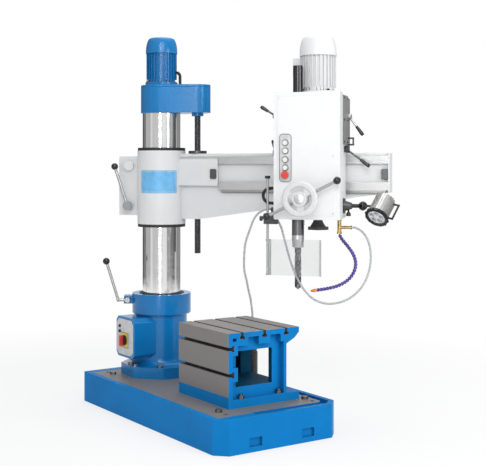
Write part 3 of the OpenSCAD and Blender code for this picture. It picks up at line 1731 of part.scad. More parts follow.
// Work lamp
module lamp_bracket() {
  color(iron_grey) on_arm() at(head_end, lamp_f, lamp_z) facing_along() difference() {
    union() {
      slab(lamp_plate_w, lamp_plate_w, lamp_plate_w / 8, lamp_plate_t);
      translate([0, 0, lamp_plate_t]) cylinder(r1 = lamp_cone_r0, r2 = lamp_cone_r1, h = lamp_cone_l);
    }
    translate([0, 0, lamp_plate_t + lamp_cone_l - lamp_pin_l]) disc(lamp_pin_r + run_gap, lamp_pin_l + cut);
  }
}

module lamp_arm() {
  face = lamp_plate_t + lamp_cone_l;
  color(black) on_arm() at(head_end, lamp_f, lamp_z) facing_along() {
    translate([0, 0, face - lamp_pin_l]) disc(lamp_pin_r, lamp_pin_l + side_gap);
    translate([0, 0, face + side_gap]) disc(lamp_rod_r, lamp_ball_x - face - lamp_ear_r - 3 * side_gap);
    difference() {
      translate([0, 0, lamp_ball_x]) sphere(lamp_ball_r);
      translate([0, 0, lamp_ball_x]) rotate([0, 90, 0])
        cylinder(r = lamp_pin_r + run_gap, h = 3 * lamp_ball_r, center = true);
      translate([-lamp_ear_t / 2 - side_gap, -2 * lamp_ball_r, lamp_ball_x - lamp_ear_r - side_gap])
        cube([lamp_ear_t + 2 * side_gap, 4 * lamp_ball_r, 3 * lamp_ball_r]);
    }
  }
}

// Lamp on its eye, with a loop handle
module lamp_head() {
  r = lamp_d / 2;
  inner = r - lamp_fin_h - lamp_wall;
  wall_r = inner + lamp_wall / 2;
  grip_half = lamp_l / 2 - lamp_ring_t - lamp_handle_r;
  on_arm() at(head_end, lamp_f, lamp_z) {
    color(black) translate([lamp_ball_x, 0, -lamp_ear_t / 2]) {
      translate([0, 0, lamp_ear_t / 2 - lamp_ball_r]) disc(lamp_pin_r, 2 * lamp_ball_r);
      difference() {
        union() {
          disc(lamp_ear_r, lamp_ear_t);
          translate([0, -lamp_ear_r / 2, 0]) cube([lamp_body_x - lamp_ball_x, lamp_ear_r, lamp_ear_t]);
        }
        lamp_place(-lamp_ball_x, lamp_ear_t / 2) translate([0, 0, -lamp_l]) disc(wall_r, 2 * lamp_l);
      }
    }
    lamp_place(0, 0) {
      color("silver") translate([0, 0, -lamp_l / 2]) difference() {
        union() {
          disc(r - lamp_fin_h, lamp_l - lamp_ring_t);
          for (i = [0:lamp_fin_n - 1]) rotate([0, 0, 360 / lamp_fin_n * i])
            translate([wall_r, -lamp_fin_t / 2, 0]) cube([r - wall_r, lamp_fin_t, lamp_l - lamp_ring_t]);
        }
        translate([0, 0, lamp_wall]) disc(inner, lamp_l);
      }
      translate([0, 0, lamp_l / 2 - lamp_ring_t]) {
        color(black) ring(lamp_ring_r, inner, lamp_ring_t);
        color("white") disc(inner, lamp_lens_t);
      }
      color(black) rotate([0, 0, lamp_handle_turn]) translate([r, 0, 0]) {
        for (z = [-grip_half, grip_half]) translate([wall_r - r, 0, z])
          rotate([0, 90, 0]) disc(lamp_handle_r, lamp_handle_out + r - wall_r);
        translate([lamp_handle_out, 0, -grip_half]) disc(lamp_handle_r, 2 * grip_half);
        for (z = [-grip_half, grip_half]) translate([lamp_handle_out, 0, z]) sphere(lamp_knuckle_r);
      }
    }
  }
}

// The lamp's own axis, towards its lens
module lamp_place(dx, dz) {
  translate([lamp_body_x + dx, 0, dz - lamp_drop]) rotate([lamp_nod, 0, -lamp_turn]) children();
}

base_plate();
base_bolts();
pedestal();
switch_box();
switch_knob();
inner_pillar();
column_bearings();
clamp_ring();
column_lever();
box_table();
coolant_pump();
column_tube();
lift_gear_case();
lift_case_cover();
lift_motor();
lift_fan_cover();
lift_rotor();
idler_gear();
lead_screw();
arm_casting();
wiper_rings();
lift_nut();
arm_stops();
name_plate();
traverse_rack();
arm_lever();
head_housing();
front_panel();
rear_gearbox();
main_motor();
main_fan_cover();
main_rotor();
drive_sleeve();
spindle_tube();
quill();
spindle();
drill_bit();
handwheel();
feed_levers();
button_1();
button_2();
button_3();
button_4();
stop_button();
hand_knob();
speed_lever();
feed_select_lever();
range_lever();
lock_lever();
guard_bracket();
guard_rod();
guard_sheet();
coolant_tee();
jointed_hose();
hose_upper();
hose_mid();
hose_lower();
lamp_bracket();
lamp_arm();
lamp_head();
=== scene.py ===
"""Radial arm drill: camera, hoses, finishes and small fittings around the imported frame.

Metres, +Z up, origin on the floor under the column. Places are written in millimetres, as in the part's source:
along the arm (r), in front of its middle plane (d) and above the floor (z), or on the base's own x, y, z.
"""
import json
import math
from collections import namedtuple

import bmesh
import bpy
from mathutils import Matrix, Vector

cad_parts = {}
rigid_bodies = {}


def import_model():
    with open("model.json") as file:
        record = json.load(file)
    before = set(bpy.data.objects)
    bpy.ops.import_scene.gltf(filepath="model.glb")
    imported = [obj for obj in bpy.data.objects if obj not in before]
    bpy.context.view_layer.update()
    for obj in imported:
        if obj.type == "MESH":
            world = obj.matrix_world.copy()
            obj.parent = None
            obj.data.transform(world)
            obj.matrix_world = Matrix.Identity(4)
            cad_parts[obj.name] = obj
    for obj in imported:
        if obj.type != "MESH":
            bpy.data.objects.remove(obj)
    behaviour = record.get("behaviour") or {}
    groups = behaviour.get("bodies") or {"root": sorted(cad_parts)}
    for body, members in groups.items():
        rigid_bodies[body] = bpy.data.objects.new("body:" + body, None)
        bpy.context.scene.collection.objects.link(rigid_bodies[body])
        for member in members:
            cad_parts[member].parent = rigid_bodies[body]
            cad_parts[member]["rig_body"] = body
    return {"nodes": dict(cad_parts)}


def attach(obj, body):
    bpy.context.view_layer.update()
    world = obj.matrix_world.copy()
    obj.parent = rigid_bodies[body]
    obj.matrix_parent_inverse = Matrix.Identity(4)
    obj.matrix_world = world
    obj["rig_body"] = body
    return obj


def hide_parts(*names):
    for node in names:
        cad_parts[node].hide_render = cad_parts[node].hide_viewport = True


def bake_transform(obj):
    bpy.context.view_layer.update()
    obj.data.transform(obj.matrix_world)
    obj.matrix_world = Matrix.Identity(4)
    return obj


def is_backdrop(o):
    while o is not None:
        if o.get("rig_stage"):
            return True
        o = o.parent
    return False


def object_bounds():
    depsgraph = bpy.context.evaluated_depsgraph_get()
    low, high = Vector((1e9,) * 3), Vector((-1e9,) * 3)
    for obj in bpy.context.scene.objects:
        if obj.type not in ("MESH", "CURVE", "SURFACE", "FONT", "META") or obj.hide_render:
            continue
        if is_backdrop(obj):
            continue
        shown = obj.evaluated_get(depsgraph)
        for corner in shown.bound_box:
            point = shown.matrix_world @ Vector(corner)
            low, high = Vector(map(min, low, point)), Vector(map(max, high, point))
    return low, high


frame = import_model()
cad_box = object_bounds()

MM = 0.001
SWING = math.radians(40)
ON_ARM = Matrix.Rotation(SWING, 4, "Z")
OFF_ARM = ON_ARM.inverted()
QUARTER = math.pi / 2
scene = bpy.context.scene


def row(x, y, z):
    """A place on the base's axes, in millimetres, as a point of the row frame."""
    return Vector((x, y, z)) * MM


def arm(r, d, z):
    """A place on the arm's axes, in millimetres, as a point of the row frame."""
    return ON_ARM @ Vector((r, -d, z)) * MM


def place(point, *turns):
    """A matrix at a point of the row frame. Each turn is (angle, axis), the outermost first."""
    matrix = Matrix.Translation(point)
    for angle, axis in turns:
        matrix = matrix @ Matrix.Rotation(angle, 4, axis)
    return matrix


def facing_front(r, d, z):
    """Local Z towards the operator, local X along the arm, local Y up."""
    return place(arm(r, d, z), (SWING, "Z"), (QUARTER, "X"))


def facing_along(r, d, z):
    """Local Z along the arm."""
    return place(arm(r, d, z), (SWING, "Z"), (QUARTER, "Y"))


# Camera

CAMERA_PLACE = (4.984, -2.817, 1.282)
CAMERA_LOOK = Vector((-0.829, 0.559, 0))
camera_data = bpy.data.cameras.new("camera")
camera_data.sensor_width = 36
camera_data.lens = 76.3
camera_data.shift_y = -0.13
camera = bpy.data.objects.new("camera", camera_data)
camera.location = CAMERA_PLACE
camera.rotation_euler = CAMERA_LOOK.to_track_quat("-Z", "Y").to_euler()
scene.collection.objects.link(camera)
scene.camera = camera


# Materials


class Look:
    """A Principled material whose detail comes from object coordinates, which are the row frame's metres."""

    def __init__(self, name, colour, rough, metal=0.0, **sockets):
        self.material = bpy.data.materials.new(name)
        self.material.use_nodes = True
        self.nodes = self.material.node_tree.nodes
        self.links = self.material.node_tree.links
        self.shader = self.nodes["Principled BSDF"]
        self.colour = (*colour, 1.0)
        self.set("Base Color", self.colour)
        self.set("Roughness", rough)
        self.set("Metallic", metal)
        for socket, value in sockets.items():
            self.set(socket.replace("_", " "), value)
        self.coords = self.add("ShaderNodeTexCoord").outputs["Object"]

    def add(self, kind, **inputs):
        node = self.nodes.new(kind)
        for socket, value in inputs.items():
            node.inputs[socket.replace("_", " ")].default_value = value
        return node

    def set(self, socket, value):
        self.shader.inputs[socket].default_value = value

    def drive(self, socket, output):
        self.links.new(output, self.shader.inputs[socket])

    def noise(self, scale, stretch=(1, 1, 1), turn=0.0, detail=3.0):
        """Noise with that many features to the metre, squeezed by stretch on axes turned about Z."""
        mapping = self.add("ShaderNodeMapping", Rotation=(0, 0, turn), Scale=stretch)
        self.links.new(self.coords, mapping.inputs["Vector"])
        noise = self.add("ShaderNodeTexNoise", Scale=scale, Detail=detail)
        self.links.new(mapping.outputs["Vector"], noise.inputs["Vector"])
        return noise.outputs["Fac"]

    def remap(self, value, low, high, start=0.3, end=0.7):
        node = self.add("ShaderNodeMapRange", From_Min=start, From_Max=end, To_Min=low, To_Max=high)
        self.links.new(value, node.inputs["Value"])
        return node.outputs["Result"]

    def mix(self, factor, first, second):
        """Mixes two colours or colour outputs by a factor output."""
        node = self.add("ShaderNodeMix")
        node.data_type = "RGBA"
        self.links.new(factor, node.inputs["Factor"])
        for socket, value in (("A", first), ("B", second)):
            target = next(i for i in node.inputs if i.name == socket and i.type == "RGBA")
            if isinstance(value, bpy.types.NodeSocket):
                self.links.new(value, target)
            else:
                target.default_value = value
        return next(o for o in node.outputs if o.type == "RGBA")

    def shade(self, share):
        """The base colour made darker or lighter."""
        return (*(min(1.0, c * share) for c in self.colour[:3]), 1.0)

    def edges(self, radius, low, high):
        """From low on flat faces to high on edges rounded by the radius."""
        bevel = self.add("ShaderNodeBevel", Radius=radius)
        bevel.samples = 4
        flat = self.add("ShaderNodeNewGeometry").outputs["Normal"]
        dot = self.add("ShaderNodeVectorMath")
        dot.operation = "DOT_PRODUCT"
        self.links.new(bevel.outputs["Normal"], dot.inputs[0])
        self.links.new(flat, dot.inputs[1])
        return self.remap(dot.outputs["Value"], high, low, 0.86, 0.99)

    def corners(self, distance, low, high):
        """Painted shade: from high in inner corners to low in the open, by ambient occlusion."""
        node = self.add("ShaderNodeAmbientOcclusion", Distance=distance)
        node.samples = 6
        node.only_local = True
        return self.remap(node.outputs["AO"], high, low, 0.35, 0.95)

    def bump(self, height, distance, strength):
        node = self.add("ShaderNodeBump", Strength=strength, Distance=distance)
        self.links.new(height, node.inputs["Height"])
        self.drive("Normal", node.outputs["Normal"])


def enamel(name, colour, rough=0.32, wear=(0.62, 0.63, 0.64), drift=0.08, gloss=0.18, shine=0.0):
    """Sprayed machine paint: orange peel, slow tone drift, paler worn edges, and painted shade that darkens the
    corners.
    """
    look = Look(name, colour, rough, Specular_IOR_Level=gloss, Coat_Weight=shine, Coat_Roughness=0.2)
    tone = look.mix(look.remap(look.noise(5), 0, 1), look.shade(1 - drift), look.shade(1 + drift))
    chips = look.edges(0.003, 0.0, 0.2)
    tone = look.mix(chips, tone, (*wear, 1.0))
    # Painted shade: inner corners darkened towards 0.45 of the colour
    tone = look.mix(look.corners(0.05, 0.0, 0.3), tone, look.shade(0.45))
    look.drive("Base Color", tone)
    look.drive("Roughness", look.remap(look.noise(60, detail=5), rough - 0.07, rough + 0.1))
    look.bump(look.noise(420, detail=2), 0.0004, 0.12)
    return look.material


def planed(name, colour, rough=0.42, turn=0.0, metal=0.55):
    """Cast iron planed along one direction: long fine tool marks, cloudy oil tone, and painted shade that darkens
    inner corners.
    """
    look = Look(name, colour, rough, metal)
    marks = look.noise(1, (6, 520, 520), turn, 4)
    cloud = look.remap(look.noise(9, detail=5), 0, 1)
    tone = look.mix(look.remap(marks, 0, 1), look.shade(0.86), look.shade(1.14))
    # Painted shade: inner corners darkened towards a quarter of the colour
    tone = look.mix(look.corners(0.03, 0.0, 0.75), tone, look.shade(0.25))
    tone = look.mix(look.edges(0.002, 0.0, 0.6), tone, look.shade(1.6))
    look.drive("Base Color", look.mix(cloud, tone, look.colour))
    look.drive("Roughness", look.remap(marks, rough - 0.08, rough + 0.12))
    look.bump(marks, 0.0003, 0.18)
    return look.material


def turned(name, colour, rough=0.25, stretch=(3, 3, 300), cut=0.025):
    """Metal turned or ground on a machine: rings, as deep as cut says, a slight cloud of tone, and painted shade
    that darkens inner corners.
    """
    look = Look(name, colour, rough, metal=1.0)
    rings = look.noise(1, stretch, detail=4)
    tone = look.mix(look.remap(rings, 0, 1), look.shade(0.95), look.shade(1.05))
    # Painted shade: inner corners darkened towards 0.4 of the colour
    tone = look.mix(look.corners(0.02, 0.0, 0.5), tone, look.shade(0.4))
    look.drive("Base Color", tone)
    look.drive("Roughness", look.remap(look.noise(35, detail=4), rough - 0.05, rough + 0.07))
    look.bump(rings, 0.0002, cut)
    return look.material


def moulded(name, colour, rough=0.3, grain=700, depth=0.1):
    """Moulded plastic or rubber: fine grain, handled shine, a little dust."""
    look = Look(name, colour, rough)
    tone = look.mix(look.remap(look.noise(30, detail=4), 0, 1), look.shade(0.88), look.shade(1.12))
    look.drive("Base Color", tone)
    look.drive("Roughness", look.remap(look.noise(80, detail=4), rough - 0.08, rough + 0.1))
    look.bump(look.noise(grain, detail=2), 0.0003, depth)
    return look.material


def clear(name, colour, rough, ior, alpha, through=0.9):
    """Clear plastic, slightly hazy and scuffed."""
    look = Look(name, colour, rough, Transmission_Weight=through, IOR=ior, Alpha=alpha)
    scuffs = look.noise(50, (1, 1, 6), detail=6)
    look.drive("Roughness", look.remap(scuffs, rough * 0.6, rough * 1.6))
    look.drive("Base Color", look.mix(look.remap(look.noise(12), 0, 1), look.shade(0.96), look.colour))
    return look.material


BLUE = enamel("machine_blue_enamel", (0.004, 0.185, 0.48), wear=(0.12, 0.36, 0.62), gloss=0.05, shine=0.7)
CAST_BLUE = enamel("cast_blue_enamel", (0.005, 0.195, 0.52), rough=0.4, wear=(0.14, 0.4, 0.68), gloss=0.04)
# Painted shade: a dark blue standing in for the shade inside the table's window; those faces have the same blue
# paint as the rest.
WINDOW_SHADE_BLUE = enamel("window_painted_shade_blue", (0.006, 0.07, 0.135), rough=0.55, wear=(0.02, 0.1, 0.17), gloss=0.03)
WHITE = enamel("off_white_enamel", (0.77, 0.78, 0.78), wear=(0.85, 0.85, 0.84), drift=0.03)
PANEL = enamel("panel_white_enamel", (0.86, 0.865, 0.865), wear=(0.9, 0.9, 0.9), drift=0.02)
WHEEL = enamel("wheel_enamel", (0.68, 0.69, 0.69), rough=0.25, wear=(0.8, 0.8, 0.8), drift=0.03, gloss=0.5)
GREY = enamel("grey_enamel", (0.23, 0.23, 0.225), rough=0.4, wear=(0.4, 0.4, 0.4), drift=0.06)
IRON = planed("planed_iron", (0.23, 0.215, 0.208), rough=0.5, metal=0.25)
WAY = planed("ground_guideway", (0.47, 0.47, 0.47), rough=0.36, turn=-SWING, metal=0.8)
# Painted shade: a much darker iron for the inner faces of the T-slots and anchor holes, where shade falls.
RECESS_SHADE_IRON = planed("recess_iron_painted_shade", (0.12, 0.115, 0.11), rough=0.6, metal=0.2)
CHROME = turned("polished_column", (0.82, 0.82, 0.82), rough=0.09, stretch=(40, 40, 3), cut=0.008)
STEEL = turned("machined_steel", (0.60, 0.60, 0.61), rough=0.34, cut=0.006)
ROD = turned("rod_steel", (0.40, 0.40, 0.405), rough=0.42, cut=0.004)
QUILL = turned("quill_steel", (0.17, 0.17, 0.174), rough=0.34, cut=0.006)
TUBE = turned("blackened_tube", (0.065, 0.065, 0.068), rough=0.2)
BOLT = turned("blackened_bolt", (0.16, 0.155, 0.15), rough=0.38)
DARK = turned("dark_steel", (0.10, 0.10, 0.105), rough=0.36)
RACK = turned("toothed_steel", (0.30, 0.30, 0.30), rough=0.4)
TOOL = turned("tool_steel", (0.17, 0.172, 0.176), rough=0.26)
BRASS = turned("turned_brass", (0.62, 0.43, 0.16), rough=0.28)
BLACK = moulded("black_plastic", (0.011, 0.011, 0.012), rough=0.24)
CHARCOAL = moulded("charcoal_paint", (0.05, 0.05, 0.053), rough=0.42)
KNOB = moulded("dark_grey_plastic", (0.032, 0.032, 0.034), rough=0.36)
RUBBER = moulded("black_rubber", (0.018, 0.018, 0.018), rough=0.6, grain=500, depth=0.25)
LIGHT_PLATE = moulded("light_plate", (0.62, 0.64, 0.64), rough=0.4, grain=900, depth=0.05)
NAME_BLUE = moulded("printed_blue", (0.16, 0.49, 0.83), rough=0.34, grain=900, depth=0.04)
IVORY = moulded("ivory_plastic", (0.80, 0.79, 0.755), rough=0.3)
RED = moulded("red_plastic", (0.66, 0.05, 0.05), rough=0.3)
YELLOW = moulded("yellow_plastic", (0.80, 0.55, 0.06), rough=0.32)
ORANGE = moulded("orange_plastic", (0.82, 0.25, 0.012), rough=0.32)
PURPLE = moulded("purple_plastic", (0.075, 0.045, 0.29), rough=0.38)
SILVER = turned("cast_aluminium", (0.62, 0.62, 0.61), rough=0.4, stretch=(120, 120, 120))
HOSE = clear("clear_hose", (0.60, 0.61, 0.62), 0.28, 1.2, 0.92, through=0.35)
SHEET = clear("clear_sheet", (0.80, 0.82, 0.82), 0.14, 1.1, 0.75)
LENS = moulded("lamp_reflector", (0.92, 0.92, 0.92), rough=0.14, grain=260, depth=0.15)


# Mesh building

Face = namedtuple("Face", "x y z r d normal")
FLAT = math.radians(0.6)
CREASE = math.radians(32)
CAD_WELD, OWN_WELD = 2e-6, 1e-6


def link(name, mesh):
    obj = bpy.data.objects.new(name, mesh)
    scene.collection.objects.link(obj)
    return obj


def soften(obj, bevel):
    """Rounds the sharp edges by a bevel in millimetres and keeps flat faces flat."""
    if bevel:
        rounding = obj.modifiers.new("edges", "BEVEL")
        rounding.width = bevel * MM
        rounding.segments = 2
        rounding.limit_method = "ANGLE"
        rounding.angle_limit = CREASE
    obj.modifiers.new("normals", "WEIGHTED_NORMAL").keep_sharp = True


def keep(node, material, bevel):
    """A CAD node that stays: its material, and its edges rounded."""
    obj = frame["nodes"][node]
    for slot in obj.material_slots:
        slot.material = material
    obj.modifiers.new("weld", "WELD").merge_threshold = CAD_WELD
    flat = obj.modifiers.new("flat", "DECIMATE")
    flat.decimate_type = "DISSOLVE"
    flat.angle_limit = FLAT
    soften(obj, bevel)


def dress(node, slot, bevel, main, *finishes, cuts=(), drop=None):
    """A CAD node shown as a copy of several finishes: each is (material, test of a Face). A cut is a plane
    (point, normal) that splits its faces, and drop a test for faces that another piece stands for."""
    mesh = bpy.data.meshes.new(node + "_finish")
    work = bmesh.new()
    work.from_mesh(frame["nodes"][node].data)
    bmesh.ops.remove_doubles(work, verts=work.verts, dist=CAD_WELD)
    bmesh.ops.dissolve_limit(work, angle_limit=FLAT, verts=work.verts, edges=work.edges)
    for point, normal in cuts:
        everything = work.verts[:] + work.edges[:] + work.faces[:]
        bmesh.ops.bisect_plane(work, geom=everything, dist=OWN_WELD, plane_co=point, plane_no=normal)
    lost = []
    for face in work.faces:
        centre = face.calc_center_median()
        own = OFF_ARM @ centre
        seen = Face(*(centre / MM), own.x / MM, -own.y / MM, OFF_ARM @ face.normal)
        face.smooth = True
        face.material_index = next((i for i, (_, test) in enumerate(finishes, 1) if test(seen)), 0)
        if drop and drop(seen):
            lost.append(face)
    bmesh.ops.delete(work, geom=lost, context="FACES")
    work.to_mesh(mesh)
    work.free()
    for layer in ("custom_normal", "UVMap"):
        if layer in mesh.attributes:
            mesh.attributes.remove(mesh.attributes[layer])
    mesh.set_sharp_from_angle(angle=CREASE)
    for material in (main, *(m for m, _ in finishes)):
        mesh.materials.append(material)
    obj = link(node + "_finish", mesh)
    soften(obj, bevel)
    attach(obj, frame["nodes"][node]["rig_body"])
    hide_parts(node)


class Shape:
    """Collects lathed, framed, bent and swept forms of several materials into one piece."""

    def __init__(self):
        self.work = bmesh.new()
        self.materials = []

    def index(self, material):
        if material not in self.materials:
            self.materials.append(material)
        return self.materials.index(material)

    def grid(self, rings, material, capped=True):
        """Skins rings of points, each a list of the same length."""
        index = self.index(material)
        verts = [[self.work.verts.new(p) for p in ring] for ring in rings]
        count = len(verts[0])
        faces = []
        for low, high in zip(verts, verts[1:]):
            for i in range(count):
                j = (i + 1) % count
                faces.append(self.work.faces.new((low[i], low[j], high[j], high[i])))
        if capped:
            faces.append(self.work.faces.new(verts[0][::-1]))
            faces.append(self.work.faces.new(verts[-1]))
        for face in faces:
            face.material_index = index
            face.smooth = True

    def lathe(self, matrix, profile, material, sides=28, hollow=False):
        """Turns a profile of (radius, height), in millimetres, about the matrix's Z. A hollow one is a ring."""
        rings = []
        for radius, height in [*profile, profile[0]] if hollow else profile:
            turn = [2 * math.pi * i / sides for i in range(sides)]
            rings.append([matrix @ row(radius * math.cos(a), radius * math.sin(a), height) for a in turn])
        self.grid(rings, material, capped=not hollow)

    def frame(self, matrix, outer, inner, low, high, material):
        """A flat ring between two outlines of as many points, between two heights along the matrix's Z."""
        edges = ((outer, low), (outer, high), (inner, high), (inner, low), (outer, low))
        rings = [[matrix @ row(x, y, h) for x, y in outline] for outline, h in edges]
        self.grid(rings, material, capped=False)

    def arc(self, radius, thick, first, last, low, high, material, steps=24):
        """A plate bent round the column axis, between two angles from the arm, in degrees, and two heights."""
        rings = []
        for i in range(steps + 1):
            a = SWING + math.radians(first + (last - first) * i / steps)
            out = Vector((math.cos(a), math.sin(a), 0))
            corners = ((radius, low), (radius + thick, low), (radius + thick, high), (radius, high))
            rings.append([(out * size + Vector((0, 0, z))) * MM for size, z in corners])
        self.grid(rings, material)

    def screw(self, matrix, radius, height, material=BOLT):
        """A socket screw's head standing on the matrix's plane."""
        socket = radius * 0.5
        chamfer = radius * 0.15
        self.lathe(matrix, [(radius, 0), (radius, height - chamfer), (radius - chamfer, height), (socket, height),
                            (socket * 0.95, height * 0.4)], material, 20)

    def rivet(self, matrix, radius, material=STEEL):
        self.lathe(matrix, [(radius, 0), (radius * 0.9, radius * 0.35), (radius * 0.5, radius * 0.6),
                            (radius * 0.1, radius * 0.65)], material, 16)

    def done(self, name, body, bevel=0.0):
        mesh = bpy.data.meshes.new(name)
        bmesh.ops.remove_doubles(self.work, verts=self.work.verts, dist=OWN_WELD)
        bmesh.ops.recalc_face_normals(self.work, faces=self.work.faces)
        self.work.to_mesh(mesh)
        self.work.free()
        mesh.set_sharp_from_angle(angle=CREASE)
        for material in self.materials:
            mesh.materials.append(material)
        obj = link(name, mesh)
        soften(obj, bevel)
        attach(obj, body)


def round_rect(w, h, r, steps=5):
    """Outline of a rounded rectangle about the origin, counter-clockwise."""
    corners = ((1, 1, 0), (-1, 1, 1), (-1, -1, 2), (1, -1, 3))
    points = []
    for sx, sy, quarter in corners:
        for i in range(steps + 1):
            a = QUARTER * (quarter + i / steps)
            points.append((sx * (w / 2 - r) + r * math.cos(a), sy * (h / 2 - r) + r * math.sin(a)))
    return points


# Clear coolant hose, on the same route as its solids

HOSE_D = 11
UPPER_ROUTE = [
    (1091, 150, 987), (1112, 150, 985), (1150, 158, 962), (1180, 172, 915), (1194, 190, 850), (1190, 208, 780),
    (1165, 226, 710), (1120, 240, 655), (1060, 252, 620), (990, 262, 608), (925, 268, 625), (875, 272, 668),
    (835, 275, 730), (805, 275, 800), (783, 275, 870), (765, 273, 935), (748, 270, 990), (729, 270, 1028),
    (725, 270, 1050), (718, 270, 1067.5), (704, 270, 1079), (687, 270, 1082), (666, 268, 1079), (645, 265, 1071),
    (621, 259, 1055), (597, 250, 1024), (577, 241, 979), (558, 231, 935),
]
MID_ROUTE = [
    (575.8, 181.7, 934.7), (560, 180, 897), (546, 184, 849), (534, 190, 801), (524, 200, 750), (516, 219, 700),
    (508, 236, 650), (500, 255, 600),
]
LOWER_ROUTE = [
    (499.9, 255.2, 599.4), (490, 268, 560), (480, 280, 520), (468, 286, 475), (455, 290, 425), (446, 290, 390),
    (445, 290, 371),
]
HOSE_STEPS = 8
HOSE_SIDES = 14


def smooth(points, steps):
    """Catmull-Rom curve through the points."""
    ends = [points[0], *points, points[-1]]
    curve = []
    for a, b, c, d in zip(ends, ends[1:], ends[2:], ends[3:]):
        for k in range(steps):
            t = k / steps
            curve.append(0.5 * (2 * b + (c - a) * t + (2 * a - 5 * b + 4 * c - d) * t * t
                                + (3 * b - a - 3 * c + d) * t ** 3))
    return curve + [points[-1]]


def swept(path, radius, sides):
    """Rings of a tube along a path, with the side direction carried along so that it doesn't twist."""
    rings = []
    side = None
    for i, point in enumerate(path):
        way = (path[min(i + 1, len(path) - 1)] - path[max(i - 1, 0)]).normalized()
        if side is None:
            side = way.cross(Vector((0, 0, 1) if abs(way.z) < 0.9 else (1, 0, 0)))
        side = (side - way * side.dot(way)).normalized()
        other = way.cross(side)
        turn = [2 * math.pi * k / sides for k in range(sides)]
        rings.append([point + (side * math.cos(a) + other * math.sin(a)) * radius for a in turn])
    return rings


def hose(node, route):
    """One length of the clear hose, bending between two bodies from start to end."""
    path = smooth(route, HOSE_STEPS)
    shape = Shape()
    shape.grid(swept(path, HOSE_D / 2 * MM, HOSE_SIDES), HOSE)
    mesh = bpy.data.meshes.new(node + "_clear")
    bmesh.ops.recalc_face_normals(shape.work, faces=shape.work.faces)
    shape.work.to_mesh(mesh)
    shape.work.free()
    mesh.materials.append(HOSE)
    obj = link(node + "_clear", mesh)
    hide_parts(node)
    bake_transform(obj)


hose("hose_upper", [arm(*p) for p in UPPER_ROUTE])
hose("hose_mid", [row(*p) for p in MID_ROUTE])
hose("hose_lower", [row(*p) for p in LOWER_ROUTE])


# Floor, light and background


def seen_directly(tree):
    """1 for rays that see a surface straight, mirrored or through glass."""
    path = tree.nodes.new("ShaderNodeLightPath")
    total = path.outputs["Is Camera Ray"]
    for ray in ("Is Glossy Ray", "Is Transmission Ray"):
        either = tree.nodes.new("ShaderNodeMath")
        either.operation = "MAXIMUM"
        tree.links.new(total, either.inputs[0])
        tree.links.new(path.outputs[ray], either.inputs[1])
        total = either.outputs[0]
    return total


def blend(tree, factor, first, second, output):
    """Ends a node tree with two shaders mixed by a factor."""
    choose = tree.nodes.new("ShaderNodeMixShader")
    tree.links.new(factor, choose.inputs[0])
    tree.links.new(first.outputs[0], choose.inputs[1])
    tree.links.new(second.outputs[0], choose.inputs[2])
    tree.links.new(choose.outputs[0], tree.nodes.new(output).inputs["Surface"])


WORLD_LIGHT = 0.62
world = bpy.data.worlds.new("studio")
scene.world = world
world.use_nodes = True
tree = world.node_tree
tree.nodes.clear()
lit = tree.nodes.new("ShaderNodeBackground")
lit.inputs["Strength"].default_value = WORLD_LIGHT
lit.inputs["Color"].default_value = (0.97, 0.985, 1.0, 1)
backdrop = tree.nodes.new("ShaderNodeBackground")
backdrop.inputs["Color"].default_value = (1, 1, 1, 1)
blend(tree, seen_directly(tree), lit, backdrop, "ShaderNodeOutputWorld")

FLOOR_HALF = 14
FLOOR_NEAR, FLOOR_FAR = 1.3, 2.9
NEAR_WHITE_SHARE = 0.7
floor_mesh = bpy.data.meshes.new("floor")
floor_mesh.from_pydata(
    [(-FLOOR_HALF, -FLOOR_HALF, 0), (FLOOR_HALF, -FLOOR_HALF, 0), (FLOOR_HALF, FLOOR_HALF, 0),
     (-FLOOR_HALF, FLOOR_HALF, 0)], [], [(0, 1, 2, 3)])
floor = link("floor", floor_mesh)
pale = bpy.data.materials.new("pale_floor")
pale.use_nodes = True
tree = pale.node_tree
tree.nodes.clear()
matt = tree.nodes.new("ShaderNodeBsdfDiffuse")
matt.inputs["Color"].default_value = (0.88, 0.88, 0.88, 1)
white = tree.nodes.new("ShaderNodeEmission")
away = tree.nodes.new("ShaderNodeVectorMath")
away.operation = "LENGTH"
tree.links.new(tree.nodes.new("ShaderNodeNewGeometry").outputs["Position"], away.inputs[0])
share = tree.nodes.new("ShaderNodeMapRange")
for socket, value in (("From Min", FLOOR_NEAR), ("From Max", FLOOR_FAR), ("To Min", NEAR_WHITE_SHARE)):
    share.inputs[socket].default_value = value
tree.links.new(away.outputs["Value"], share.inputs["Value"])
whiter = tree.nodes.new("ShaderNodeMath")
whiter.operation = "MULTIPLY"
tree.links.new(share.outputs["Result"], whiter.inputs[0])
tree.links.new(seen_directly(tree), whiter.inputs[1])
blend(tree, whiter.outputs[0], matt, white, "ShaderNodeOutputMaterial")
floor_mesh.materials.append(pale)
floor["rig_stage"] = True

LIGHT_AIM = Vector((0.5, 0.1, 1.0))
CAMERA_RIGHT = Vector((CAMERA_LOOK.y, -CAMERA_LOOK.x, 0))


def soft_light(name, right, near, up, size, power):
    """An area lamp, placed from the aim point to the camera's right, towards the camera and up, in metres."""
    data = bpy.data.lights.new(name, "AREA")
    data.shape = "DISK"
    data.size = size
    data.energy = power
    obj = bpy.data.objects.new(name, data)
    obj.location = LIGHT_AIM + CAMERA_RIGHT * right - CAMERA_LOOK * near + Vector((0, 0, up))
    obj.rotation_euler = (LIGHT_AIM - obj.location).to_track_quat("-Z", "Y").to_euler()
    scene.collection.objects.link(obj)


soft_light("key", 0.3, 4.0, 2.4, 2.6, 66)
soft_light("fill", 3.4, 2.6, 1.0, 2.2, 52)
soft_light("top", 0.2, -0.6, 3.6, 3.0, 48)

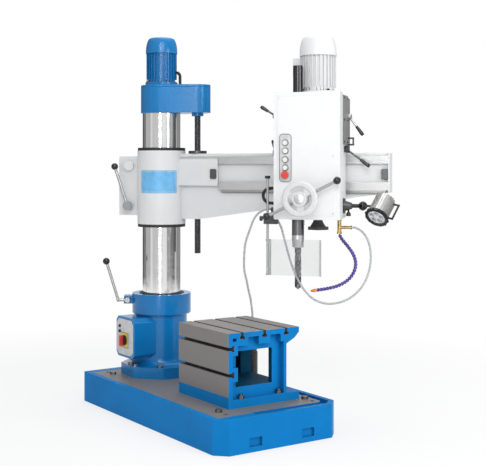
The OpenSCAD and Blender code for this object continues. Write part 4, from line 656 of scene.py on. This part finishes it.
# Studio walls that only mirrors see: for each, its first and last angle from the camera's direction and its tone
WALL_FAR, WALL_LOW, WALL_TALL = 6.0, -1.0, 6.0
WALLS = (
    (-165, -130, 0.10), (-130, -105, 0.22), (-105, -66, 0.5), (-66, -52, 0.8), (-52, -18, 0.62), (-18, -9, 0.75),
    (-9, -1, 8.0), (-1, 10, 0.72), (10, 36, 0.9), (36, 58, 0.36), (58, 74, 0.26), (74, 90, 0.16), (90, 106, 0.6),
    (106, 165, 0.3),
)
TO_CAMERA = math.atan2(-CAMERA_LOOK.y, -CAMERA_LOOK.x)
points, faces = [], []
for first, last, _ in WALLS:
    for angle, z in ((first, WALL_LOW), (last, WALL_LOW), (last, WALL_TALL), (first, WALL_TALL)):
        turn = TO_CAMERA + math.radians(angle)
        points.append((WALL_FAR * math.cos(turn), WALL_FAR * math.sin(turn), z))
    faces.append(tuple(range(len(points) - 4, len(points))))
wall_mesh = bpy.data.meshes.new("studio_walls")
wall_mesh.from_pydata(points, [], faces)
tones = wall_mesh.attributes.new("tone", "FLOAT", "FACE")
for index, (_, _, tone) in enumerate(WALLS):
    tones.data[index].value = tone
wall = bpy.data.materials.new("studio_wall")
wall.use_nodes = True
tree = wall.node_tree
tree.nodes.clear()
glow = tree.nodes.new("ShaderNodeEmission")
level = tree.nodes.new("ShaderNodeAttribute")
level.attribute_name = "tone"
tree.links.new(level.outputs["Fac"], glow.inputs["Strength"])
tree.links.new(glow.outputs[0], tree.nodes.new("ShaderNodeOutputMaterial").inputs["Surface"])
wall_mesh.materials.append(wall)
walls = link("studio_walls", wall_mesh)
for ray in ("camera", "diffuse", "transmission", "volume_scatter", "shadow"):
    setattr(walls, "visible_" + ray, False)
walls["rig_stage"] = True

scene.view_settings.view_transform = "Standard"


# CAD nodes of one finish

for node, material, bevel in (
    ("base_bolts", BOLT, 1.2), ("pedestal", BLUE, 3), ("inner_pillar", STEEL, 1), ("column_bearings", STEEL, 1),
    ("clamp_ring", BLUE, 3), ("column_tube", CHROME, 1), ("lift_gear_case", BLUE, 3), ("lift_case_cover", BLUE, 2),
    ("lift_fan_cover", BLUE, 0.8), ("lift_rotor", STEEL, 0), ("idler_gear", STEEL, 0), ("wiper_rings", RUBBER, 1),
    ("lift_nut", DARK, 1.5), ("arm_stops", DARK, 2), ("name_plate", NAME_BLUE, 0.4), ("traverse_rack", RACK, 0.3),
    ("head_housing", WHITE, 4), ("main_fan_cover", WHITE, 0.8), ("main_rotor", STEEL, 0),
    ("drive_sleeve", STEEL, 0), ("spindle_tube", TUBE, 2), ("spindle", STEEL, 1), ("drill_bit", TOOL, 0),
    ("button_1", IVORY, 1.5), ("button_2", IVORY, 1.5), ("button_3", IVORY, 1.5), ("button_4", IVORY, 1.5),
    ("stop_button", RED, 3), ("hand_knob", KNOB, 3), ("guard_bracket", CHARCOAL, 2), ("coolant_tee", BRASS, 0.8),
    ("lamp_bracket", DARK, 2), ("lamp_arm", BLACK, 1.5),
):
    keep(node, material, bevel)


# CAD nodes of several finishes, told apart by where a face lies: on a plane when it is within TOUCH of it

TOUCH = 0.1
BASE_H = 163
TABLE_TOP = 516
TABLE_LEFT = -187
TABLE_PLANED_Z = 217
DECK_X, DECK_Y = (-200, 1078), (-319, 286)
ANCHORS, ANCHOR_R = [(x, y) for x in (-156, 1036) for y in (-250, 250)], 12


def in_anchor(f):
    """True on the walls of the base's anchor holes, which carry painted shade."""
    return f.z < BASE_H - TOUCH and any(math.hypot(f.x - x, f.y - y) < ANCHOR_R for x, y in ANCHORS)


dress("base_plate", "machine_blue", 5, CAST_BLUE,
      (RECESS_SHADE_IRON, in_anchor),
      (IRON, lambda f: f.z > BASE_H - TOUCH and DECK_X[0] < f.x < DECK_X[1] and DECK_Y[0] < f.y < DECK_Y[1]),
      cuts=[(row(DECK_X[0], 0, 0), (1, 0, 0)), (row(DECK_X[1], 0, 0), (1, 0, 0)),
            (row(0, DECK_Y[0], 0), (0, 1, 0))])
TOP_SLOTS, SIDE_SLOTS = (-109, 19, 147), (443, 320)
SLOT_HALF, SLOT_DEEP = 14.5, 33


def in_slot(f):
    """True on the inner faces of the table's T-slots, which carry painted shade."""
    top = TOUCH < TABLE_TOP - f.z < SLOT_DEEP and any(abs(f.y - y) < SLOT_HALF for y in TOP_SLOTS)
    side = TOUCH < f.y - TABLE_LEFT < SLOT_DEEP and any(abs(f.z - z) < SLOT_HALF for z in SIDE_SLOTS)
    return (top or side) and abs((ON_ARM @ f.normal).x) < 0.5


WINDOW_LOW, WINDOW_HIGH = (565, -129, 253), (930, 146, 426)


def in_window(f):
    """True on the inner faces of the table's window, which carry painted shade."""
    return all(low < v < high for low, v, high in zip(WINDOW_LOW, (f.x, f.y, f.z), WINDOW_HIGH))


dress("box_table", "machine_blue", 2, CAST_BLUE, (RECESS_SHADE_IRON, in_slot), (WINDOW_SHADE_BLUE, in_window),
      (IRON, lambda f: f.z > TABLE_TOP - TOUCH or (f.y < TABLE_LEFT + TOUCH and f.z > TABLE_PLANED_Z)),
      cuts=[(row(0, 0, TABLE_PLANED_Z), (0, 0, 1))])
SWITCH_FRONT, SWITCH_PLATE, KNOB_FOOT = -230, 3.9, 12.4
dress("switch_box", "machine_blue", 3, BLUE, (LIGHT_PLATE, lambda f: f.y < SWITCH_FRONT + SWITCH_PLATE))
dress("switch_knob", "switch_red", 1.5, RED, (BLACK, lambda f: f.y > SWITCH_FRONT - KNOB_FOOT))
PUMP_PORT_Z, COLUMN_BALL_Z, ARM_BALL_Z = 334, 720, 1250
dress("coolant_pump", "black_plastic", 2, BLACK, (BRASS, lambda f: f.z > PUMP_PORT_Z))
dress("column_lever", "steel", 0.6, ROD, (BLACK, lambda f: f.z > COLUMN_BALL_Z))
dress("arm_lever", "steel", 0.6, ROD, (BLACK, lambda f: f.z > ARM_BALL_Z))
LIFT_BOLTS, MAIN_BOLTS, LIFT_CABLE_R = (1765, 1775), (1688, 1697), 84.5
dress("lift_motor", "machine_blue", 0.8, BLUE,
      (BLACK, lambda f: f.r > LIFT_CABLE_R or LIFT_BOLTS[0] < f.z < LIFT_BOLTS[1]))
WAYS, WAY_ENDS, WEB_HALF = ((1313.9, 1354.1), (1174.9, 1217.1)), (345, 1262), 35.5


def on_way(f):
    """True on the ground faces of the arm's two guideways."""
    return (WAY_ENDS[0] < f.r < WAY_ENDS[1] and abs(f.d) > WEB_HALF
            and any(low <= f.z <= high for low, high in WAYS))


dress("arm_casting", "paint_white", 4, WHITE, (WAY, on_way),
      cuts=[(arm(r, 0, 0), ON_ARM @ Vector((1, 0, 0))) for r in WAY_ENDS])
BUTTON_R, BUTTONS_HALF, PLATE_D, SCREW_D = 800, 33, 391, 388
dress("front_panel", "paint_white", 3, PANEL,
      (LIGHT_PLATE, lambda f: f.d > PLATE_D and abs(f.r - BUTTON_R) < BUTTONS_HALF),
      (STEEL, lambda f: f.d > SCREW_D and abs(f.r - BUTTON_R) > BUTTONS_HALF))
GEARBOX_SIDE, HANDLE_D = 1041.5, 29
dress("rear_gearbox", "cast_grey", 3, GREY, (DARK, lambda f: f.r > GEARBOX_SIDE and f.d < HANDLE_D))
dress("main_motor", "paint_white", 0.8, WHITE, (BLACK, lambda f: MAIN_BOLTS[0] < f.z < MAIN_BOLTS[1]))
WHEEL_R, WHEEL_Z, WHEEL_BACK = 890, 1140, 457
BALL_OUT, BALL_D = 180.5, 400
dress("handwheel", "steel", 1.5, WHEEL, (STEEL, lambda f: f.d < WHEEL_BACK - TOUCH))
dress("feed_levers", "steel", 1, ROD,
      (BLACK, lambda f: math.hypot(f.r - WHEEL_R, f.z - WHEEL_Z) > BALL_OUT and f.d > BALL_D))


def grip(r, z, lean, length):
    """A test for a lever's grip: past that length from its hub, leaning from upright towards the arm's end."""
    across, up = math.sin(math.radians(lean)), math.cos(math.radians(lean))
    return BLACK, lambda f: (f.r - r) * across + (f.z - z) * up > length - 0.5


RIGHT_HUB, LEFT_HUB = 1052.3, 726.7
dress("speed_lever", "steel", 0.6, STEEL, grip(RIGHT_HUB, 1559, 143, 62))
dress("feed_select_lever", "dark_steel", 0.6, DARK, grip(RIGHT_HUB, 1389, 127, 92))
dress("range_lever", "dark_steel", 0.6, DARK, grip(LEFT_HUB, 1555, -58, 46))
dress("lock_lever", "dark_steel", 0.6, DARK, grip(LEFT_HUB, 1370, -12, 20))
ROD_CAP_Z, QUILL_NOSE, SHEET_ENDS, NOZZLE_R = 1237.5, 949, (702.5, 951.5), 927.5
dress("guard_rod", "steel", 0.8, ROD, (BLACK, lambda f: f.z > ROD_CAP_Z))
dress("quill", "steel", 0.6, QUILL, (STEEL, lambda f: f.z < QUILL_NOSE),
      cuts=[(row(0, 0, QUILL_NOSE), (0, 0, 1))])
dress("guard_sheet", "clear_sheet", 0.4, ROD, (SHEET, lambda f: SHEET_ENDS[0] < f.r < SHEET_ENDS[1]))
dress("jointed_hose", "hose_purple", 0.4, PURPLE, (ORANGE, lambda f: f.r < NOZZLE_R))
LAMP_PLACE, LAMP_YAW, LAMP_TILT = (1241, 160, 1084), math.radians(-20), math.radians(132)
LAMP = place(arm(*LAMP_PLACE), (SWING, "Z"), (LAMP_YAW, "Z"), (LAMP_TILT, "X")).inverted()


def lamp_part(face):
    """Radius from the lamp's axis and height along it, in millimetres."""
    own = LAMP @ row(face.x, face.y, face.z)
    return math.hypot(own.x, own.y) / MM, own.z / MM


LENS_R, LENS_LOW, LENS_HIGH, FIN_R, STEM_R = 45, 52.5, 60, 54.5, 1180
dress("lamp_head", "lamp_silver", 0.6, SILVER,
      (LENS, lambda f: lamp_part(f)[0] < LENS_R and LENS_LOW < lamp_part(f)[1] < LENS_HIGH),
      (BLACK, lambda f: lamp_part(f)[0] > FIN_R or lamp_part(f)[1] > LENS_LOW or f.r < STEM_R))

# Lead screw: its thread, with the CAD's own gear and collar above it
SCREW_R, SCREW_LOW, SCREW_HIGH = 210, 825, 1588
THREAD_OUT, THREAD_IN, THREAD_PITCH = 17.5, 14.6, 9.0
THREAD_SIDES, THREAD_STEPS = 20, 6
THREAD_FORM = (0.0, 0.0, 0.4, 1.0, 1.0, 0.4)
dress("lead_screw", "dark_steel", 0, DARK, cuts=[(row(0, 0, SCREW_HIGH), (0, 0, 1))],
      drop=lambda f: f.z < SCREW_HIGH)
thread = Shape()
axis = place(arm(SCREW_R, 0, 0))
rings = []
for step in range(int((SCREW_HIGH - SCREW_LOW) / THREAD_PITCH * THREAD_STEPS) + 1):
    z = SCREW_LOW + step * THREAD_PITCH / THREAD_STEPS
    ring = []
    for side in range(THREAD_SIDES):
        turn = side / THREAD_SIDES
        form = THREAD_FORM[int((step / THREAD_STEPS - turn) % 1 * THREAD_STEPS)]
        size = THREAD_IN + (THREAD_OUT - THREAD_IN) * form
        ring.append(axis @ row(size * math.cos(2 * math.pi * turn), size * math.sin(2 * math.pi * turn), z))
    rings.append(ring)
thread.grid(rings, DARK)
thread.done("lead_screw_thread", "lead_screw")


# Small fittings


def body_of(node):
    """Name of the body that a CAD node rides on."""
    return frame["nodes"][node]["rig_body"]


PLATE_FRONT, PLATE_Z, PLATE_W, PLATE_H, PLATE_ROUND, RIM_W = 391.3, 1341, 64, 240, 18, 4
BUTTON_HEIGHTS = (1416, 1376, 1332, 1292)
trim = Shape()
for z in BUTTON_HEIGHTS:
    trim.lathe(facing_front(BUTTON_R, PLATE_FRONT, z), [(12.8, 0), (17, 0), (17, 2), (15.6, 3.2), (12.8, 3.2)],
               GREY, hollow=True)
trim.frame(facing_front(BUTTON_R, PLATE_FRONT, PLATE_Z), round_rect(PLATE_W - 1, PLATE_H - 1, PLATE_ROUND),
           round_rect(PLATE_W - 2 * RIM_W, PLATE_H - 2 * RIM_W, PLATE_ROUND - RIM_W), 0, 1.2, GREY)
trim.done("button_trim", body_of("front_panel"), 0.3)

SWITCH_Z, KNOB_HOLE = 359.74, 28.6
switch = Shape()
on_plate = place(row(0, SWITCH_FRONT, SWITCH_Z), (QUARTER, "X"))
for w, h, top, material in ((86, 82, 0.8, BLACK), (80, 76, 1.5, YELLOW)):
    outline = round_rect(w, h, 4)
    hole = [(KNOB_HOLE * x / math.hypot(x, y), KNOB_HOLE * y / math.hypot(x, y)) for x, y in outline]
    switch.frame(on_plate, outline, hole, 0, top, material)
for x, z in ((-74, 292), (74, 292), (-74, 458), (74, 458)):
    switch.rivet(place(row(x, SWITCH_FRONT, z), (QUARTER, "X")), 5)
for x, z in ((-52, 432), (-52, 404)):
    switch.lathe(place(row(x, SWITCH_FRONT, z), (QUARTER, "X")),
                 [(9, 0), (9, 2), (7.2, 2.6), (7.2, 7), (5.5, 8.6), (1, 9)], BLACK, 20)
switch.done("switch_trim", body_of("switch_box"), 0.3)

RING_TOP = 604
seal = Shape()
seal.lathe(place(row(0, 0, RING_TOP)), [(105.8, 0), (124, 0), (124, 2.5), (117, 5), (105.8, 5)], RUBBER, 72,
           hollow=True)
seal.done("column_seal", body_of("clamp_ring"), 0.4)

HUB_FRONT = 481.3
cap = Shape()
cap.lathe(facing_front(WHEEL_R, HUB_FRONT, WHEEL_Z), [(24, 0), (24, 2.6), (22, 4.4), (12, 5.4), (1, 5.6)],
          STEEL, 40)
cap.done("wheel_cap", body_of("handwheel"), 0.3)

LAMP_OUT = LAMP.inverted()
LAMP_RING, LAMP_LOBES, LENS_FRONT, LAMP_COUNT, LAMP_CIRCLE = 59, 12, 58, 5, 25
bezel = Shape()
for i in range(LAMP_LOBES):
    a = 2 * math.pi * i / LAMP_LOBES
    lobe = LAMP_OUT @ Matrix.Translation(row(LAMP_RING * math.cos(a), LAMP_RING * math.sin(a), 0))
    bezel.lathe(lobe, [(3, 53.5), (5.5, 55), (5.5, 63), (3, 64.5)], BLACK, 14)
for i in range(LAMP_COUNT):
    a = 2 * math.pi * i / LAMP_COUNT
    lamp = LAMP_OUT @ Matrix.Translation(row(LAMP_CIRCLE * math.cos(a), LAMP_CIRCLE * math.sin(a), LENS_FRONT))
    bezel.lathe(lamp, [(12.5, 0), (12.5, 1.5), (11.2, 1.8), (10.5, 1), (8, 2.6), (4, 3.4), (0.5, 3.6)], SILVER, 24)
bezel.done("lamp_bezel", body_of("lamp_head"), 0.2)

wing = Shape()
wing.lathe(place(arm(1075, 160, 1080)), [(5, 0), (5, -12), (11, -20), (13, -30), (11, -34), (2, -35)], BLACK, 24)
wing.done("lamp_clamp_knob", body_of("lamp_bracket"), 0.3)

PLATE_FROM, PLATE_TO, PLATE_LOW, PLATE_HIGH = -125, -32, 1155, 1279
PLATE_R, EDGE_IN, EDGE_W, EDGE_T = 134.5, 6, 2, 0.4
TURN_IN, TURN_W, RIVET_TURN, RIVET_IN = 2.6, 0.9, 1.3, 3
border = Shape()
for low in (PLATE_LOW + EDGE_IN, PLATE_HIGH - EDGE_IN - EDGE_W):
    border.arc(PLATE_R, EDGE_T, PLATE_FROM + TURN_IN, PLATE_TO - TURN_IN, low, low + EDGE_W, LIGHT_PLATE)
for first in (PLATE_FROM + TURN_IN, PLATE_TO - TURN_IN - TURN_W):
    border.arc(PLATE_R, EDGE_T, first, first + TURN_W, PLATE_LOW + EDGE_IN + EDGE_W,
               PLATE_HIGH - EDGE_IN - EDGE_W, LIGHT_PLATE, 2)
for angle in (PLATE_FROM + RIVET_TURN, PLATE_TO - RIVET_TURN):
    for z in (PLATE_LOW + RIVET_IN, PLATE_HIGH - RIVET_IN):
        a = SWING + math.radians(angle)
        point = row(PLATE_R * math.cos(a), PLATE_R * math.sin(a), z)
        border.rivet(place(point, (a, "Z"), (QUARTER, "Y")), 2.4)
border.done("name_plate_edge", body_of("name_plate"))

COVER_FACE = 1049
screws = Shape()
for d in (42, 138):
    for z in (1426, 1540, 1654):
        screws.screw(facing_along(COVER_FACE, d, z), 5.5, 4.5, DARK)
screws.done("gearbox_cover_screws", body_of("rear_gearbox"), 0.3)

KNOB_PLACE = (933, 240, 1034.5)
skirt = Shape()
skirt.lathe(place(arm(*KNOB_PLACE), (math.pi, "X")),
            [(22.4, 3), (23, 9), (26, 17), (32, 27), (38, 36), (40, 41), (36, 42)], KNOB, 40)
skirt.done("hand_knob_skirt", body_of("hand_knob"), 0.3)

RIB_GAP, RIB_LOW, RIB_HIGH, RIB_SIDES = 1.4, 7, 9, 16


def sleeve(name, node, path):
    """A corrugated sleeve on a conduit: its radius goes from low to high at each rib."""
    ribs = Shape()
    rings = []
    for i, ring in enumerate(swept(path, MM, RIB_SIDES)):
        size = (RIB_LOW, RIB_LOW, RIB_HIGH, RIB_HIGH)[i % 4]
        rings.append([path[i] + (p - path[i]) * size for p in ring])
    ribs.grid(rings, RUBBER)
    ribs.done(name, body_of(node))


def evenly(points):
    """Places a rib's gap apart along a smooth curve through the points."""
    curve = smooth(points, 24)
    kept = [curve[0]]
    for point in curve:
        if (point - kept[-1]).length >= RIB_GAP * MM:
            kept.append(point)
    return kept


def bend(r, z, out, up, last):
    """Places (r, z) round a bend about its middle (r, z), from its top to the last angle, in degrees. It reaches
    out along the arm and up by these lengths."""
    turns = [math.radians(a) for a in range(0, last + 1, 15)]
    return [(r + out * math.sin(a), z + up * math.cos(a)) for a in turns]


CASE_TOP, CABLE_R, CABLE_BEND = 1747, 84, 24
drop_r = CABLE_R + CABLE_BEND
path = [*bend(CABLE_R, CASE_TOP + 2 * CABLE_BEND, CABLE_BEND, CABLE_BEND, 90)[1:],
        (drop_r, CASE_TOP + CABLE_BEND), (drop_r, CASE_TOP + 3)]
sleeve("lift_conduit_sleeve", "lift_motor", evenly([arm(r, 0, z) for r, z in path]))
LOOP_R, LOOP_D, LOOP_Z, LOOP_BEND = 690, 262, 1150, 38
ends = [LOOP_R + 30, LOOP_R + 16]
path = [*((r, LOOP_Z + LOOP_BEND) for r in ends), *bend(LOOP_R, LOOP_Z, -LOOP_BEND, LOOP_BEND, 180),
        *((r, LOOP_Z - LOOP_BEND) for r in ends[::-1])]
sleeve("head_conduit_sleeve", "guard_bracket", evenly([arm(r, LOOP_D, z) for r, z in path]))

size = {"cad": [list(corner) for corner in cad_box], "visual": [list(corner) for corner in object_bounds()]}
